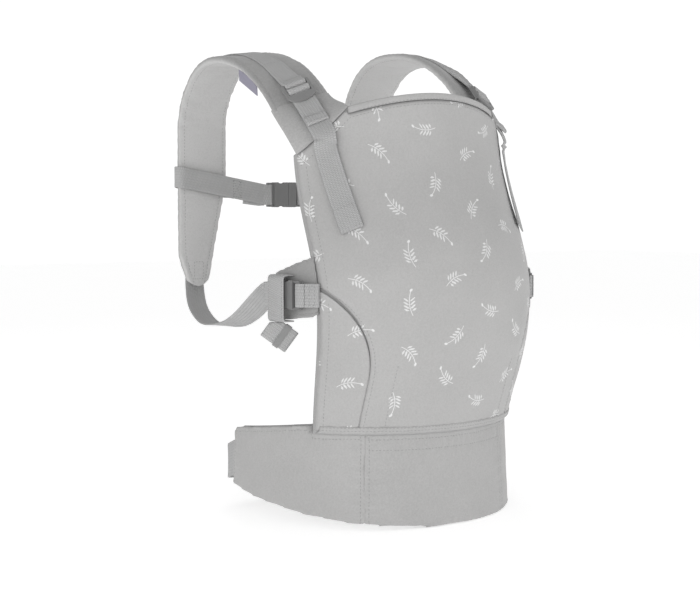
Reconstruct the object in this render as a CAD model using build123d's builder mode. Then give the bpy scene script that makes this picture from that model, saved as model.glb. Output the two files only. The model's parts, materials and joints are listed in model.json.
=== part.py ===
from build123d import *
import os
from math import acos, atan2, cos, degrees, exp, hypot, radians, sin, sqrt

os.makedirs("parts", exist_ok=True)

# Soft baby carrier in the shape it has when worn.  Z is the wearer's torso axis, -Y is the side
# the child sits on, and the origin lies on the torso axis level with the belt's lower front edge.
# "left" is the -X side and "right" the +X side.

# --- waistbelt -------------------------------------------------------------------------------
belt_radius = 163.0            # outer face at the upper edge, about the torso axis
belt_flare = 5.0               # how far the lower edge stands out from the upper one
belt_thickness = 14.0
belt_height = 102.0
belt_half_angle = 100.0        # centre front to either end, degrees
belt_seam_angle = 34.0         # centre front to the seam between middle and wing, degrees
belt_lining = 3.0
hip_y = -100.0                 # where the right wing's lower edge leaves the level
hip_rise = 18.0                # left wing, which sits higher: its lower edge halfway along
end_rise = 33.0                # how far the lower edge has risen at the ends
foot_y = -90.5                 # where the upper edge comes out from under the panel
wing_height = 111.0            # upper edge beside the panel
end_height = 94.0              # upper edge at the ends
seam_strip_height = 8.0
seam_strip_thickness = 1.6
seam_strip_inset = 5.0         # its ends inside the panel's lower corners

# --- panel -----------------------------------------------------------------------------------
panel_front = 141.0            # distance of the unbulged panel in front of the torso axis
belly_depth = 64.0             # how far the child's back pushes the panel out
belly_height = 245.0
belly_spread_below = 145.0
belly_spread_above = 122.0
panel_radius = 163.0           # plan radius at the belt
panel_top_radius = 155.0       # plan radius at the top edge
panel_cover = 3.0
panel_lining_thickness = 2.0
panel_top = 463.0              # middle of the top edge
panel_half_width = 139.0       # at mid height
panel_foot_half_width = 130.0  # at the belt
neck_half_width = 96.0         # where the top edge meets the sloping corners
neck_drop = 16.0               # how far the top edge falls there
corner_half_width = 136.5      # lower end of the sloping corner
corner_height = 396.0
hem_depth = 8.0
gusset_half_width = 98.0
gusset_turn = 160.0            # height at which the gusset seam starts to curve outwards
gusset_top = 255.0
shell_stations = 10

# --- shoulder straps -------------------------------------------------------------------------
strap_width = 68.0
strap_thickness = 16.0
strap_x = 118.0                # middle of each strap from the plane of symmetry
strap_rear_y = 182.0
strap_roll = 5.0               # inner edge turned back, degrees
arch_radius = 85.0
arch_turn = 85.0               # from the rear to where the wider front arc takes over, degrees
arch_height = {-1: 426.0, 1: 435.0}     # middle of the arch on the left and on the right
arch_y = strap_rear_y - arch_radius
strap_front = (118.0, -54.0, 448.0)       # middle of the front end
strap_front_slew = (64.0, -23.0, 21.0)    # from the outer to the inner edge at the front end
run_stations = 4
strap_tip = 241.0
strap_tip_radius = 16.0
strap_tip_x = 126.0
strap_taper_height = 379.0     # where the inner edge starts to narrow
yoke_thickness = 4.0
band_width = 24.0
band_thickness = 1.6

# --- webbing and fittings --------------------------------------------------------------------
web_width = 25.0
waist_web_width = 38.0
web_thickness = 1.6
play = 0.3                     # between pieces that move on each other
sleeve_play = 0.5              # chest strap sleeve round the shoulder strap

buckle_rim = 3.0               # buckle beyond the webbing on each side
buckle_thickness = 9.5
buckle_plate = 1.8             # housing above and below the prongs
buckle_wall = 2.2              # housing beside the prongs
buckle_cavity = 16.5
buckle_mouth = 3.5             # ring at the mouth that the prongs catch behind
buckle_back = 3.0              # solid between cavity and slot
buckle_slot = 4.5
buckle_bar = 4.0
bar_thickness = 5.0
finger_recess = 2.0
window_end = 3.0               # from the blind end of the cavity to the side window
prong_thickness = 3.6
prong_length = 15.0            # from the mouth to the nose
prong_root = 4.0               # pivot behind the mouth
shoulder_length = 6.0
tongue_width = 6.0
base_length = 11.0             # plug between the mouth and its slot
buckle_corner = 1.5
buckle_waist = 0.5             # bar's frame inside the body on each side
prong_inset = 1.5              # arm of a prong clear of the wall beside it
prong_nose = 0.8               # bevel at its tip
shoulder_inset = 1.3           # shoulder of a prong inside the buckle's side

chest_height = 355.0
chest_rise = 21.0              # how much higher the webbing lies at the shoulder straps
chest_mouth_x = -3.6
chest_level = 34.0             # half width of the level stretch at the buckle

waist_rear_y = 78.0
waist_end_height = 62.0
waist_rear_height = 45.0
waist_bend = 45.0

guard_angle = 84.5             # rear end of the padded buckle guard, about the panel's axis
guard_thickness = 8.0
guard_front = (228.0, 296.0)   # lower and upper corner at the panel
guard_rear = (220.0, 272.0)    # lower and upper corner at the rear end
guard_corner = 8.0
keeper_band = 24.0             # width of the band round the buckle's plug
keeper_band_inset = 1.0        # its edges inside the guard's rear edge
keeper_band_angle = 77.3
side_mouth_angle = 77.0
side_height = 250.0
side_web_route = (             # X, Y, drop below the buckle, and lean from upright in degrees
    (166, -40, 12, 12), (161, -6, 27, 35), (154, 34, 39, 60), (147, 80, 45, 80), (139, 127, 45, 90),
    (130, 171, 31, 90))

tail_angle = 76.0              # round the panel's axis
tail_drop = 12.0               # middle of the folded tail below the guard's lower rear corner
tail_lift = 8.0
tail_facing = 33.0             # direction the folded tail faces, from straight ahead, degrees
tail_turn = 36.0               # lean of the tail from the vertical, degrees
folded_thickness = 5.0
folded_length = 32.0
keeper_thickness = 1.0
keeper_length = 7.0

lock_bar = 2.0                 # radius of its bars
lock_pitch = 9.0               # between neighbouring bars
lock_back = 23.0               # rear bar behind the strap's front end
lock_tab = 9.0
adjuster_end = 318.0           # height of the sewn lower end
adjuster_x = 112.0
adjuster_share = 0.4           # where the webbing crosses the sloping corner, from its lower end
adjuster_lift = 2.8            # middle of the webbing off the panel
adjuster_corner_lift = 7.0     # and off the sloping corner, which it bridges
tail_length = 26.0

tag = (52.0, 14.0, 0.8)        # blank sewn-in tab on the left strap

SIDES = ((-1, "left"), (1, "right"))
REACH = 400.0                  # longer than any cut needs


def finish(piece, name):
    piece.part.label = name
    export_step(piece.part, f"parts/{name}.step")


# --- panel surface ---------------------------------------------------------------------------

def panel_r(z):
    """Plan radius of the panel's outer face at a height."""
    run = (z - belt_height) / (panel_top - belt_height)
    return panel_radius + (panel_top_radius - panel_radius) * run


def panel_axis_y(z):
    """Y of the middle of the panel's plan arc at a height."""
    spread = belly_spread_below if z < belly_height else belly_spread_above
    bulge = belly_depth * exp(-((z - belly_height) / spread) ** 2)
    return panel_r(z) - panel_front - bulge


def panel_point(x, z, lift=0.0):
    """Point of the panel's outer face, moved outwards by lift."""
    y = panel_axis_y(z) - sqrt((panel_r(z) + lift) ** 2 - x * x)
    return Vector(x, y, z)


def torso_shell(inner, outer):
    """Half-round shell between two offsets of the panel's outer face, for cutting pieces from."""
    with BuildPart() as shell:
        for i in range(shell_stations):
            z = belt_height + (panel_top - belt_height) * i / (shell_stations - 1)
            with BuildSketch(Plane.XY.offset(z)):
                with Locations((0, panel_axis_y(z))):
                    Circle(panel_r(z) + outer)
                    Circle(panel_r(z) + inner, mode=Mode.SUBTRACT)
                    Rectangle(REACH, REACH, align=(Align.CENTER, Align.MIN), mode=Mode.SUBTRACT)
        loft()
    return shell.part


def panel_outline():
    """Front view of the panel."""
    neck = (neck_half_width, panel_top - neck_drop)
    corner = (corner_half_width, corner_height)
    middle = (belt_height + corner_height) / 2
    with BuildSketch(Plane.XZ) as outline:
        with BuildLine():
            ThreePointArc((-neck[0], neck[1]), (0, panel_top), neck)
            Line(neck, corner)
            ThreePointArc(corner, (panel_half_width, middle), (panel_foot_half_width, belt_height))
            Line((panel_foot_half_width, belt_height), (-panel_foot_half_width, belt_height))
            ThreePointArc((-panel_foot_half_width, belt_height), (-panel_half_width, middle),
                          (-corner[0], corner[1]))
            Line((-corner[0], corner[1]), (-neck[0], neck[1]))
        make_face()
    return outline.sketch


def hem_outline():
    """Front view of everything above the hem's seam, which runs hem_depth below the top edge."""
    neck = Vector(neck_half_width, panel_top - neck_drop - hem_depth)
    corner = Vector(corner_half_width, corner_height - hem_depth)
    far = neck + (corner - neck) * 2
    with BuildSketch(Plane.XZ) as outline:
        with BuildLine():
            ThreePointArc((-neck.X, neck.Y), (0, panel_top - hem_depth), (neck.X, neck.Y))
            Polyline((neck.X, neck.Y), (far.X, far.Y), (far.X, REACH * 2), (-far.X, REACH * 2),
                     (-far.X, far.Y), (-neck.X, neck.Y))
        make_face()
    return outline.sketch


def gusset_outline(side):
    """Front view of one lower side gusset, open towards the panel's edge."""
    beyond = side * (panel_half_width + 20)
    with BuildSketch(Plane.XZ) as outline:
        with BuildLine():
            Line((side * gusset_half_width, 0), (side * gusset_half_width, gusset_turn))
            TangentArc((side * gusset_half_width, gusset_turn),
                       (side * (panel_half_width + 2), gusset_top), tangent=(0, 1))
            Polyline((side * (panel_half_width + 2), gusset_top), (beyond, gusset_top),
                     (beyond, 0), (side * gusset_half_width, 0))
        make_face()
    return outline.sketch


cover = torso_shell(-panel_cover, 0)

with BuildPart() as front_panel:
    add(cover)
    extrude(panel_outline(), amount=REACH, both=True, mode=Mode.INTERSECT)
    extrude(hem_outline(), amount=REACH, both=True, mode=Mode.SUBTRACT)
    for side, hand in SIDES:
        extrude(gusset_outline(side), amount=REACH, both=True, mode=Mode.SUBTRACT)
finish(front_panel, "front_panel")

with BuildPart() as top_hem:
    add(cover)
    extrude(panel_outline(), amount=REACH, both=True, mode=Mode.INTERSECT)
    extrude(hem_outline(), amount=REACH, both=True, mode=Mode.INTERSECT)
finish(top_hem, "top_hem")

for side, hand in SIDES:
    with BuildPart() as gusset:
        add(cover)
        extrude(panel_outline(), amount=REACH, both=True, mode=Mode.INTERSECT)
        extrude(gusset_outline(side), amount=REACH, both=True, mode=Mode.INTERSECT)
    finish(gusset, f"{hand}_panel_gusset")

with BuildPart() as panel_lining:
    add(torso_shell(-panel_cover - panel_lining_thickness, -panel_cover))
    extrude(panel_outline(), amount=REACH, both=True, mode=Mode.INTERSECT)
finish(panel_lining, "panel_lining")

with BuildPart() as belt_seam_strip:
    add(torso_shell(0, seam_strip_thickness))
    with BuildSketch(Plane.XZ):
        with Locations((0, belt_height)):
            Rectangle(2 * (panel_foot_half_width - seam_strip_inset), seam_strip_height,
                      align=(Align.CENTER, Align.MIN))
    extrude(amount=REACH, both=True, mode=Mode.INTERSECT)
finish(belt_seam_strip, "belt_seam_strip")


# --- waistbelt -------------------------------------------------------------------------------

belt_end_y = -belt_radius * cos(radians(belt_half_angle))


def belt_outline(side):
    """Side view of one half of the belt: tall at the front, narrowing to its end."""
    front, rear = -belt_radius - 3 * belt_flare, belt_end_y + belt_thickness
    with BuildSketch(Plane.YZ) as outline:
        with BuildLine():
            if side > 0:
                Polyline((front, belt_height), (front, 0), (hip_y, 0))
                TangentArc((hip_y, 0), (rear, end_rise), tangent=(1, 0))
            else:
                Polyline((front, belt_height), (front, 0), (-belt_radius, 0))
                ThreePointArc((-belt_radius, 0), ((rear - belt_radius) / 2, hip_rise), (rear, end_rise))
            Polyline((rear, end_rise), (rear, end_height), (foot_y, wing_height), (foot_y, belt_height),
                     (front, belt_height))
        make_face()
    return outline.sketch


with BuildPart() as belt_envelope:
    for side, hand in SIDES:
        extrude(belt_outline(side), amount=side * REACH)


def belt_sector(inner, outer, start, sweep):
    """Length of the belt between two depths from its outer face, both in angles from the front."""
    with BuildPart() as sector:
        with BuildSketch(Plane.XZ):
            with BuildLine():
                rise = belt_flare * (wing_height / belt_height - 1)
                Polyline((belt_radius - inner - rise, wing_height), (belt_radius - outer - rise, wing_height),
                         (belt_radius - outer + belt_flare, 0), (belt_radius - inner + belt_flare, 0),
                         close=True)
            make_face()
        revolve(axis=Axis.Z, revolution_arc=sweep)
    turned = sector.part.rotate(Axis.Z, start - 90)
    with BuildPart() as trimmed:
        add(turned)
        add(belt_envelope.part, mode=Mode.INTERSECT)
    return trimmed.part


with BuildPart() as belt_middle:
    add(belt_sector(0, belt_thickness - belt_lining, -belt_seam_angle, 2 * belt_seam_angle))
finish(belt_middle, "belt_middle")

for side, hand in SIDES:
    start = belt_seam_angle if side > 0 else -belt_half_angle
    with BuildPart() as belt_wing:
        add(belt_sector(0, belt_thickness - belt_lining, start, belt_half_angle - belt_seam_angle))
    finish(belt_wing, f"{hand}_belt_wing")
    start = 0 if side > 0 else -belt_half_angle
    with BuildPart() as belt_inside:
        add(belt_sector(belt_thickness - belt_lining, belt_thickness, start, belt_half_angle))
    finish(belt_inside, f"{hand}_belt_lining")


# --- side-release buckles --------------------------------------------------------------------
# Each buckle is built on a seat plane: its origin is the middle of the mouth, x points from the
# housing to the plug, y runs across the webbing and z through the thickness.

housing_length = buckle_cavity + buckle_back + buckle_slot + buckle_bar
housing_bar_x = -(housing_length - buckle_bar / 2)
plug_bar_x = play + base_length + buckle_slot + buckle_bar / 2
prong_height = buckle_thickness - 2 * buckle_plate - 2 * play


def buckle_half(web):
    return web / 2 + buckle_rim


def buckle_housing(seat, web):
    """Housing with its webbing bar, prong cavity and side windows."""
    half = buckle_half(web)
    body = buckle_cavity + buckle_back
    window = buckle_cavity - buckle_mouth - window_end
    recess = window + 2
    with BuildPart(seat) as housing:
        with BuildSketch(seat):
            with Locations((-body, 0)):
                Rectangle(body, 2 * half, align=(Align.MIN, Align.CENTER))
            fillet(vertices(), radius=buckle_corner)
        extrude(amount=buckle_thickness / 2, both=True)
        with BuildSketch(seat):
            with Locations((-housing_length, 0)):
                Rectangle(housing_length - body + 2, 2 * (half - buckle_waist),
                          align=(Align.MIN, Align.CENTER))
            fillet(vertices(), radius=1)
            with Locations((-housing_length + buckle_bar + buckle_slot / 2, 0)):
                Rectangle(buckle_slot, web + 2 * play, mode=Mode.SUBTRACT)
        extrude(amount=bar_thickness / 2, both=True)
        with BuildSketch(seat):
            with Locations((-buckle_cavity, 0)):
                Rectangle(buckle_cavity + 1, 2 * (half - buckle_wall), align=(Align.MIN, Align.CENTER))
            with Locations((-buckle_mouth, 0)):
                Rectangle(window, 2 * half + 2, align=(Align.MAX, Align.CENTER))
        extrude(amount=buckle_thickness / 2 - buckle_plate, both=True, mode=Mode.SUBTRACT)
        with BuildSketch(seat):
            depth = finger_recess
            radius = (recess ** 2 / 4 + depth ** 2) / (2 * depth)
            middle = -buckle_mouth - window / 2
            with Locations((middle, half + radius - depth), (middle, -half - radius + depth)):
                Circle(radius)
        extrude(amount=buckle_thickness, both=True, mode=Mode.SUBTRACT)
    return housing.part


def buckle_plug(seat, web):
    """Plug with its guide tongue, its webbing bar and the notches that carry the prongs."""
    half = buckle_half(web)
    pivot_y = half - buckle_wall - play - prong_inset - prong_thickness / 2
    with BuildPart(seat) as plug:
        with BuildSketch(seat):
            with Locations((play, 0)):
                Rectangle(base_length, 2 * half, align=(Align.MIN, Align.CENTER))
            fillet(vertices(), radius=buckle_corner)
        extrude(amount=buckle_thickness / 2, both=True)
        with BuildSketch(seat):
            with Locations((play + base_length - 2, 0)):
                Rectangle(2 + buckle_slot + buckle_bar, 2 * (half - buckle_waist),
                          align=(Align.MIN, Align.CENTER))
            fillet(vertices(), radius=1)
            with Locations((play + base_length + buckle_slot / 2, 0)):
                Rectangle(buckle_slot, web + 2 * play, mode=Mode.SUBTRACT)
        extrude(amount=bar_thickness / 2, both=True)
        with BuildSketch(seat):
            with Locations((prong_root, pivot_y), (prong_root, -pivot_y)):
                Circle(prong_thickness / 2 + play)
            with Locations((0, pivot_y), (0, -pivot_y)):
                Rectangle(prong_root, prong_thickness + 2 * play + 1.2, align=(Align.MIN, Align.CENTER))
        extrude(amount=prong_height / 2 + play, both=True, mode=Mode.SUBTRACT)
        with BuildSketch(seat):
            with Locations((-prong_length, 0)):
                Rectangle(prong_length + play + 1, tongue_width, align=(Align.MIN, Align.CENTER))
        extrude(amount=prong_height / 2, both=True)
    return plug.part


def buckle_prong(seat, web, way):
    """One squeeze prong; way is +1 or -1 for the side of the buckle it stands on."""
    half = buckle_half(web)
    outer = half - buckle_wall - play - prong_inset
    inner = outer - prong_thickness
    shoulder = half - shoulder_inset
    back = -buckle_mouth - 2 * play
    with BuildPart(seat) as prong:
        with BuildSketch(seat):
            with BuildLine():
                Polyline((prong_root, way * outer), (back, way * outer), (back, way * shoulder),
                         (back - shoulder_length, way * shoulder),
                         (-prong_length, way * (outer - prong_nose)),
                         (-prong_length, way * (inner + prong_nose)),
                         (1 - prong_length, way * inner), (prong_root, way * inner), close=True)
            make_face()
            with Locations((prong_root, way * (outer + inner) / 2)):
                Circle(prong_thickness / 2)
        extrude(amount=prong_height / 2, both=True)
    return prong.part


def bar_loop(bar_x, away, reach):
    """Webbing in side view: round the bar at bar_x and off to away (-1 or +1) by reach."""
    outer_x = buckle_bar + 2 * play + 2 * web_thickness
    outer_y = bar_thickness + 2 * play + 2 * web_thickness
    with BuildSketch() as loop:
        with Locations((bar_x, 0)):
            RectangleRounded(outer_x, outer_y, radius=2.2)
        with Locations((bar_x + away * (outer_x / 2 - 1), 0)):
            Rectangle(reach + 1, 2 * web_thickness,
                      align=(Align.MIN if away > 0 else Align.MAX, Align.CENTER))
        with Locations((bar_x, 0)):
            RectangleRounded(outer_x - 2 * web_thickness, outer_y - 2 * web_thickness, radius=0.6,
                             mode=Mode.SUBTRACT)
    return loop.sketch


def add_buckle(name, seat, web):
    """Housing, plug and the two prongs of one buckle."""
    with BuildPart() as housing:
        add(buckle_housing(seat, web))
    finish(housing, f"{name}_buckle_housing")
    with BuildPart() as plug:
        add(buckle_plug(seat, web))
    finish(plug, f"{name}_buckle_plug")
    for way, place in ((1, "upper"), (-1, "lower")):
        with BuildPart() as prong:
            add(buckle_prong(seat, web, way * (1 if seat.y_dir.Z > 0 else -1)))
        finish(prong, f"{name}_buckle_{place}_prong")


# --- shoulder straps -------------------------------------------------------------------------

def arch_plane(side, height, angle):
    """Plane across the strap at an angle round its arch: x to the inner edge, z onwards."""
    a, roll = radians(angle), radians(strap_roll)
    across = Vector(-side * cos(roll), sin(roll) * cos(a), sin(roll) * sin(a))
    return Plane(origin=(side * strap_x, arch_y + arch_radius * cos(a), height + arch_radius * sin(a)),
                 x_dir=across, z_dir=(0, -sin(a), cos(a)))


def front_arc(height):
    """Radius, middle and end angle of the wide arc from the arch down to the strap's front end."""
    turn = radians(arch_turn)
    dy, dz = strap_front[1] - arch_y, strap_front[2] - height
    along = dy * cos(turn) + dz * sin(turn)
    radius = (dy * dy + dz * dz - 2 * arch_radius * along + arch_radius ** 2) / (2 * (arch_radius - along))
    middle_y = arch_y + (arch_radius - radius) * cos(turn)
    middle_z = height + (arch_radius - radius) * sin(turn)
    return radius, middle_y, middle_z, degrees(atan2(strap_front[2] - middle_z, strap_front[1] - middle_y))


def run_plane(side, share):
    """Plane across the strap's front run: share 0 at the arch, 1 at the front end."""
    height = arch_height[side]
    radius, middle_y, middle_z, last = front_arc(height)
    a = radians(arch_turn + (last - arch_turn) * share)
    x = strap_x + (strap_front[0] - strap_x) * share
    start = arch_plane(side, height, arch_turn).x_dir
    finish_dir = Vector(-side * strap_front_slew[0], *strap_front_slew[1:]).normalized()
    across = start + (finish_dir - start) * share
    onward = Vector(0, -sin(a), cos(a))
    onward = (onward - across * (onward.dot(across) / across.dot(across))).normalized()
    return Plane(origin=(side * x, middle_y + radius * cos(a), middle_z + radius * sin(a)),
                 x_dir=across, z_dir=onward)


def strap_end(side):
    """Plane across the strap's front end: x to the inner edge, z onwards to the panel."""
    return run_plane(side, 1)


def strap_section(grow=0.0):
    with BuildSketch() as section:
        RectangleRounded(strap_width + 2 * grow, strap_thickness + 2 * grow,
                         radius=strap_thickness / 2 - 1.5 + grow)
    return section.sketch


def strap_front_view(side):
    """Front view of the strap's hanging part: a straight outer edge, a tapering inner one."""
    outer, inner = side * (strap_x + strap_width / 2 + 2), side * (strap_x - strap_width / 2 - 1)
    tip_z = strap_tip + strap_tip_radius
    lean = atan2(strap_taper_height - tip_z, strap_tip_x - abs(inner) - strap_tip_radius)
    with BuildSketch(Plane.XZ) as view:
        with BuildLine():
            tip_in = (side * (strap_tip_x - strap_tip_radius * sin(lean)),
                      tip_z - strap_tip_radius * cos(lean))
            tip_out = (side * (strap_tip_x + strap_tip_radius * sin(radians(60))),
                       tip_z - strap_tip_radius * cos(radians(60)))
            Polyline((inner, REACH + 200), (inner, strap_taper_height), tip_in)
            ThreePointArc(tip_in, (side * strap_tip_x, strap_tip), tip_out)
            Polyline(tip_out, (outer, tip_z + 2 * strap_tip_radius), (outer, REACH + 200),
                     (inner, REACH + 200))
        make_face()
    return view.sketch


straps = {}
for side, hand in SIDES:
    height = arch_height[side]
    rear = arch_plane(side, height, 0)
    with BuildPart() as shoulder_strap:
        with BuildSketch(rear):
            add(strap_section())
        extrude(amount=-(height - strap_tip))
        extrude(strap_front_view(side), amount=REACH, both=True, mode=Mode.INTERSECT)
        with BuildSketch(rear):
            add(strap_section())
        revolve(axis=Axis((0, arch_y, height), (1, 0, 0)), revolution_arc=arch_turn)
        for station in range(run_stations):
            with BuildSketch(run_plane(side, station / (run_stations - 1))):
                add(strap_section())
        loft()
    finish(shoulder_strap, f"{hand}_shoulder_strap")
    straps[side] = shoulder_strap.part


# --- yokes between strap and panel, bands, ladder locks ---------------------------------------

def corner_plane(side):
    """Plane of the panel's sloping corner edge: x up to the neck, z into the panel."""
    neck = Vector(side * neck_half_width, 0, panel_top - neck_drop)
    corner = Vector(side * corner_half_width, 0, corner_height)
    along = (neck - corner).normalized()
    return Plane(origin=(neck + corner) / 2, x_dir=along, z_dir=(-side * along.Z, 0, side * along.X))


def corner_point(side, share, lift):
    """Point of the corner edge: share 0 is its lower end, 1 its upper end."""
    x = corner_half_width + (neck_half_width - corner_half_width) * share
    return panel_point(side * x, corner_height + (panel_top - neck_drop - corner_height) * share, lift)


def above(plane, side, lift):
    """Point over the middle of the strap's outer face."""
    return plane.origin + plane.y_dir * (-side * (strap_thickness / 2 + lift))


def ribbon(points, across, width, thickness, ruled=False):
    """Webbing lofted through points; across holds the width direction at each of them."""
    with BuildPart() as piece:
        for i, point in enumerate(points):
            onward = (points[min(i + 1, len(points) - 1)] - points[max(i - 1, 0)]).normalized()
            level = across[i] - onward * across[i].dot(onward)
            with BuildSketch(Plane(origin=point, x_dir=level, z_dir=onward)):
                Rectangle(width, thickness)
        loft(ruled=ruled)
    return piece.part


def surface_across(side, x, z):
    """Level direction along the panel's face towards its middle."""
    share = abs(x) / panel_r(z)
    return Vector(-side * sqrt(1 - share * share), -share, 0)


loop_radius = lock_bar + play + web_thickness
lock_lift = loop_radius + 3 * play


def lock_seat(side):
    """Seat plane of the ladder lock: origin on its middle bar, x along the webbing, z off the strap."""
    end = strap_end(side)
    up = end.y_dir * -side
    rear = above(end, side, lock_lift) - end.z_dir * lock_back
    onward = (corner_point(side, adjuster_share, adjuster_corner_lift + loop_radius) - rear).normalized()
    return Plane(origin=rear + onward * lock_pitch, x_dir=onward, z_dir=up - onward * up.dot(onward))


def lock_profile_plane(seat):
    """Side view of a seat: x onwards, y off the strap."""
    return Plane(origin=seat.origin, x_dir=seat.x_dir, z_dir=seat.y_dir * -1)


for side, hand in SIDES:
    height, end, seat = arch_height[side], strap_end(side), lock_seat(side)
    profile = lock_profile_plane(seat)

    with BuildPart() as strap_yoke:
        with BuildSketch(end):
            Rectangle(strap_width, yoke_thickness)
        plane = corner_plane(side)
        edge = [[plane.to_local_coords(corner_point(side, share, lift)) for share in (0, 0.5, 1)]
                for lift in (0, -yoke_thickness)]
        with BuildSketch(plane):
            with BuildLine():
                for low, middle, high in edge:
                    ThreePointArc((low.X, low.Y), (middle.X, middle.Y), (high.X, high.Y))
                for k in (0, 2):
                    Line((edge[0][k].X, edge[0][k].Y), (edge[1][k].X, edge[1][k].Y))
            make_face()
        loft()
    finish(strap_yoke, f"{hand}_strap_yoke")

    rail_y = web_width / 2 + play
    with BuildPart(seat) as ladder_lock:
        with BuildSketch(seat):
            for way in (-1, 1):
                with Locations((-lock_pitch - lock_bar, way * (rail_y + buckle_rim / 2))):
                    Rectangle(2 * lock_pitch + lock_bar, buckle_rim, align=(Align.MIN, Align.CENTER))
        extrude(amount=lock_bar + 0.5, both=True)
        with BuildSketch(seat):
            with Locations((lock_pitch, 0)):
                Ellipse(lock_tab, rail_y + buckle_rim)
            with Locations((lock_pitch - lock_bar, 0)):
                Rectangle(REACH, REACH, align=(Align.MAX, Align.CENTER), mode=Mode.SUBTRACT)
        extrude(amount=lock_bar + 0.5)
        with Locations((-lock_pitch, 0, 0), (0, 0, 0)):
            Cylinder(lock_bar, 2 * rail_y + buckle_rim, rotation=(90, 0, 0))
    finish(ladder_lock, f"{hand}_ladder_lock")

    with BuildPart() as strap_band:
        planes = [arch_plane(side, height, arch_turn * 0.9)]
        planes += [run_plane(side, share) for share in (0, 0.25, 0.5)]
        points = [above(plane, side, band_thickness / 2 + 2 * play) for plane in planes]
        widths = [plane.x_dir for plane in planes]
        points.append(seat.from_local_coords(Vector(-lock_pitch - 1, 0, band_thickness / 2 - loop_radius)))
        widths.append(seat.y_dir * -side)
        add(ribbon(points, widths, band_width, band_thickness))
        with BuildSketch(profile):
            with Locations((-lock_pitch, 0)):
                Circle(loop_radius)
                Circle(lock_bar + play, mode=Mode.SUBTRACT)
        extrude(amount=band_width / 2, both=True)
    finish(strap_band, f"{hand}_strap_band")

    web_line = web_thickness / 2 - loop_radius
    with BuildPart() as adjuster_tail:
        with BuildSketch(profile):
            Circle(loop_radius)
            with Locations((0, web_line)):
                Rectangle(4, web_thickness, align=(Align.MIN, Align.CENTER))
            with Locations((lock_bar, web_line + web_thickness + play)):
                Rectangle(tail_length, web_thickness, align=(Align.MIN, Align.CENTER))
            Circle(lock_bar + play, mode=Mode.SUBTRACT)
            with Locations((lock_bar + tail_length - 9, web_line + 2 * web_thickness + play)):
                Rectangle(9, web_thickness, align=(Align.MIN, Align.CENTER))
        extrude(amount=web_width / 2, both=True)
    finish(adjuster_tail, f"{hand}_adjuster_tail")

    with BuildPart() as adjuster_webbing:
        reach = lock_bar + tail_length + 2
        points = [seat.from_local_coords(Vector(x, 0, web_line)) for x in (4 + 3 * play, reach)]
        widths = [seat.y_dir * -side] * 2
        run = corner_point(side, adjuster_share, adjuster_corner_lift)
        points.append(run)
        widths.append(surface_across(side, run.X, run.Z))
        for share in (0.1, 0.2, 0.35, 0.5, 0.65, 0.8, 1):
            x = side * (abs(run.X) + (adjuster_x - abs(run.X)) * share)
            z = run.Z + (adjuster_end - run.Z) * share
            points.append(panel_point(x, z, adjuster_lift))
            widths.append(surface_across(side, x, z))
        add(ribbon(points, widths, web_width, web_thickness, ruled=True))
    finish(adjuster_webbing, f"{hand}_adjuster_webbing")

with BuildPart() as side_tag:
    plane = run_plane(-1, 0.5)
    corner = plane.from_local_coords(Vector(strap_thickness / 2 - strap_width / 2,
                                            -(strap_thickness + tag[1]) / 2, 0))
    with BuildSketch(Plane(origin=corner, x_dir=plane.z_dir, z_dir=plane.x_dir)):
        Rectangle(tag[0], tag[1])
    extrude(amount=tag[2] / 2, both=True)
    add(straps[-1], mode=Mode.SUBTRACT)
finish(side_tag, "strap_tag")


# --- chest strap -----------------------------------------------------------------------------

chest_y = (strap_rear_y + strap_width / 2 * sin(radians(strap_roll)) - strap_thickness / 2
           - sleeve_play - web_thickness - play)
chest_seat = Plane(origin=(chest_mouth_x, chest_y, chest_height), x_dir=(1, 0, 0), z_dir=(0, -1, 0))
strap_outer_x = strap_x + strap_width / 2

for side, hand in SIDES:
    bar_x = chest_mouth_x + (housing_bar_x if side < 0 else plug_bar_x)
    inner_x = side * (strap_x - strap_width / 2 - 2)
    with BuildPart() as chest_webbing:
        with BuildSketch():
            with Locations(Location((side * strap_x, strap_rear_y), -side * strap_roll)):
                add(strap_section(sleeve_play + web_thickness))
                add(strap_section(sleeve_play), mode=Mode.SUBTRACT)
            with Locations((0, chest_y)):
                add(bar_loop(bar_x, side, abs(inner_x - bar_x)))
        extrude(amount=2 * REACH)
        with BuildSketch(Plane.XZ):
            with BuildLine():
                low, high = chest_height - web_width / 2, chest_height + web_width / 2
                level, far = side * chest_level, side * (strap_outer_x + 2 * strap_thickness)
                rise = chest_rise * (abs(far) - chest_level) / (strap_outer_x - chest_level)
                Polyline((0, low), (level, low), (far, low + rise), (far, high + rise),
                         (level, high), (0, high), close=True)
            make_face()
        extrude(amount=REACH, both=True, mode=Mode.INTERSECT)
    finish(chest_webbing, f"{hand}_chest_webbing")

add_buckle("chest", chest_seat, web_width)


# --- waist webbing ---------------------------------------------------------------------------

waist_seat = Plane(origin=(0, waist_rear_y, waist_rear_height), x_dir=(1, 0, 0), z_dir=(0, 1, 0))
end_angle = radians(belt_half_angle)
end_radius = belt_radius - belt_thickness / 2 + belt_flare * (1 - waist_end_height / belt_height)

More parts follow.
